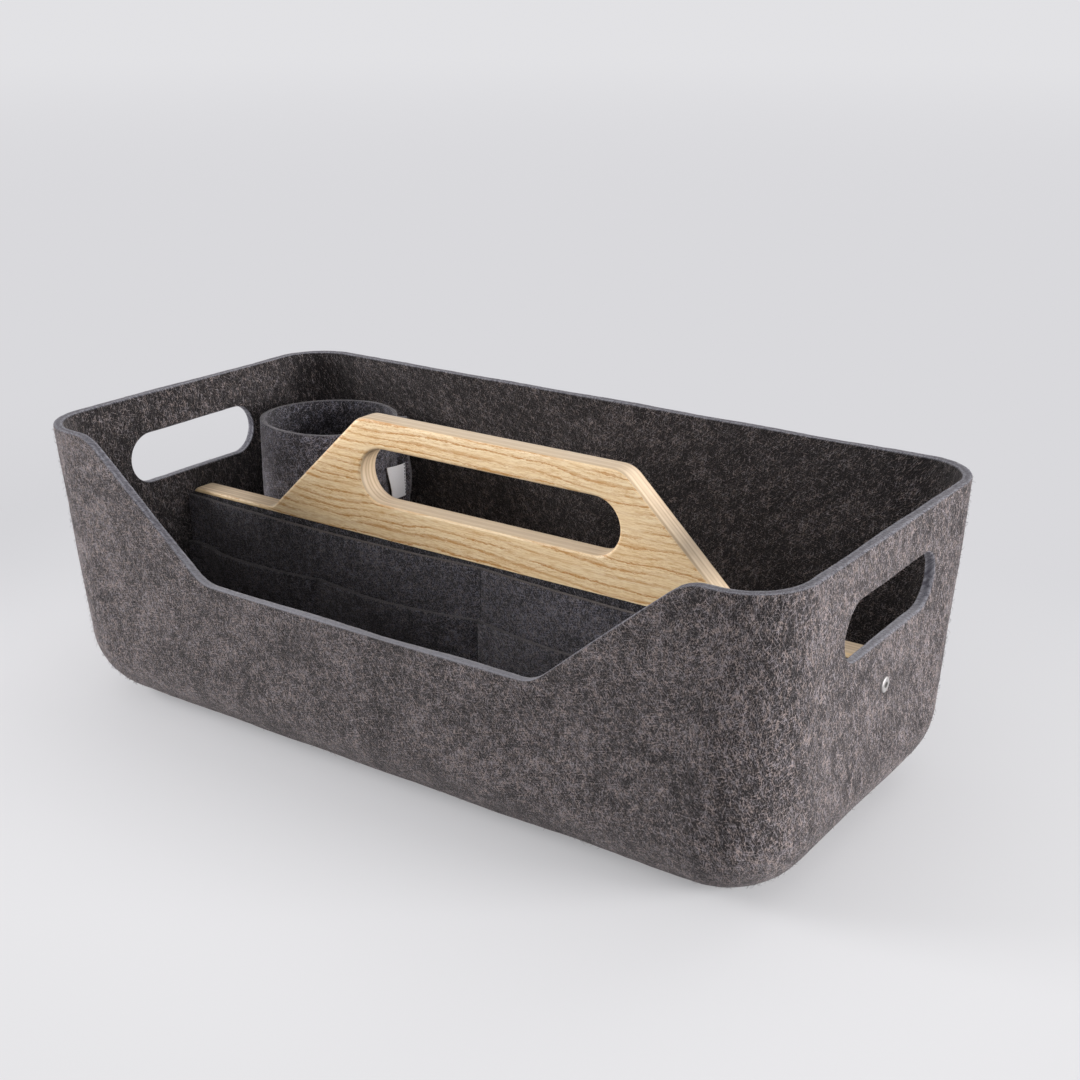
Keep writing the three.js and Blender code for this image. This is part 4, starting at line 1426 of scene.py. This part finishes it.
def make_screw(side, word):
    """A flat screw head with a hexagon socket, and a rolled thread below it."""
    bm = new_form()
    seat, head, tip = -0.7, 0.55, -13.5
    outer, core, thread_pitch = 2, 1.72, 0.7
    socket = first_loop(bm, circle_places(6, SOCKET_RADIUS, head - 0.6))
    ops.contextual_create(bm, geom=loop_edges(socket))
    socket = extrude_loop(bm, socket, circle_places(6, SOCKET_RADIUS, head))
    rim = first_loop(bm, circle_places(36, 3.3, head))
    ops.bridge_loops(bm, edges=loop_edges(socket) + loop_edges(rim))
    rings = [(3.45, head - 0.08), (3.7, head - 0.28), (3.8, head - 0.5), (3.8, seat)]
    rings.append((outer, seat))
    z = seat - 0.5
    while z > tip:
        rings += [(outer, z), (core, z - thread_pitch / 2)]
        z -= thread_pitch
    rings.append((1.3, z - 0.2))
    for radius, height in rings:
        rim = extrude_loop(bm, rim, circle_places(36, radius, height))
    ops.contextual_create(bm, geom=loop_edges(rim))
    face_outwards(bm)
    turn = facing(Vector((side, 0, -END_DRAFT)).normalized())
    place = Matrix.Translation((side * half_length(SCREW_Z), SCREW_PLACE_Y, SCREW_Z))
    ops.transform(bm, matrix=place @ turn, verts=bm.verts)
    new_piece(
        f"socket_screw_{word}", bm, SCREW_LOOK, "caddy", "screw_steel", f"end_screw_{word}",
        sharp=25,
    )


make_screw(1, "right")
make_screw(-1, "left")


# Inserts and staples keep their CAD shapes

def dress(node, look):
    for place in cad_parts[node].material_slots:
        place.material = look


for word in ("right", "left"):
    dress(f"end_insert_{word}", INSERT_LOOK)
for number in range(1, 7):
    dress(f"backing_staple_{number}", STAPLE_LOOK)


# Studio: a pale floor and soft light

def make_floor():
    bm = bmesh.new()
    ops.create_grid(bm, x_segments=1, y_segments=1, size=40)
    mesh = to_mesh("studio_floor", bm, size=1)
    shader = Shader("studio_floor", {"Roughness": 0.6, "Specular IOR Level": 0.2})
    cloud = shader.grain((1, 1, 1), 500, 1.0)
    shader.finish(shader.mix(cloud, (0.745, 0.741, 0.76), (0.755, 0.751, 0.77)))
    # Round the tray the floor is seen partly as evenly lit paper, which keeps its shadow soft,
    # and further off wholly. The paper carries a little painted light in front of the tray, and a
    # little painted shadow beside its left end.
    where = shader.vector("ABSOLUTE", shader.place())
    beyond = shader.vector("SUBTRACT", where, (0.19, 0.09, 0))
    beyond = shader.vector("MAXIMUM", beyond, (0, 0, 0))
    away = shader.vector("LENGTH", beyond, output=1)
    # Painted light in front of the tray, and painted shadow beside its left end
    front = shader.axis("X") * 0.57 - shader.axis("Y") * 0.82
    tone = shader.mix(front.step(-0.24, 0.3), (0.695, 0.692, 0.717), (0.79, 0.786, 0.804))
    beside = shader.axis("X").step(-0.42, -0.22, 1.0, 0.0) * away.step(0.0, 0.6, 0.6, 0.0)
    tone = shader.mix(beside, tone, (0.6, 0.598, 0.62))
    tone = shader.mix(away.step(1.4, 6), tone, (0.76, 0.758, 0.78))
    paper = shader.node("Emission", {}, tone, 1.0)
    share = away.step(0.0, 0.3, 0.36, 1.0)
    shader.show(shader.clear_rays() * share, paper, "Material Output")
    mesh.materials.append(shader.owner)
    add_object("studio_floor", mesh)


def make_light(name, place, aim, size, power):
    """A rectangle of light in watts, at a place in metres, turned towards its aim."""
    data = bpy.data.lights.new(name, "AREA")
    data.shape = "RECTANGLE"
    data.size, data.size_y = size
    data.energy = power
    light = add_object(name, data)
    light.location = place
    light.rotation_euler = (Vector(aim) - Vector(place)).to_track_quat("-Z", "Y").to_euler()


def make_world():
    """Even light from all round, and a pale grey where the camera sees past the floor."""
    world = bpy.data.worlds.new("studio")
    shader = Shader(world, {"Color": (1, 1, 1, 1), "Strength": 0.54}, "Background")
    backdrop = shader.node("Background", {}, (0.767, 0.765, 0.787, 1), 1.0)
    shader.show(shader.clear_rays(), backdrop, "World Output")
    bpy.context.scene.world = world


make_floor()
make_world()
make_light("left_light", (-1.05, -0.66, 0.48), (-0.15, -0.1, 0.08), (0.55, 0.55), 15)
make_light("right_light", (1.7, 0.4, 0.42), (0.1, 0, 0.08), (0.9, 0.36), 36)
make_light("back_light", (0.6, 2.4, 2.0), (0, 0, 0.05), (1.6, 1.2), 11)
bpy.context.scene.view_settings.view_transform = "Standard"
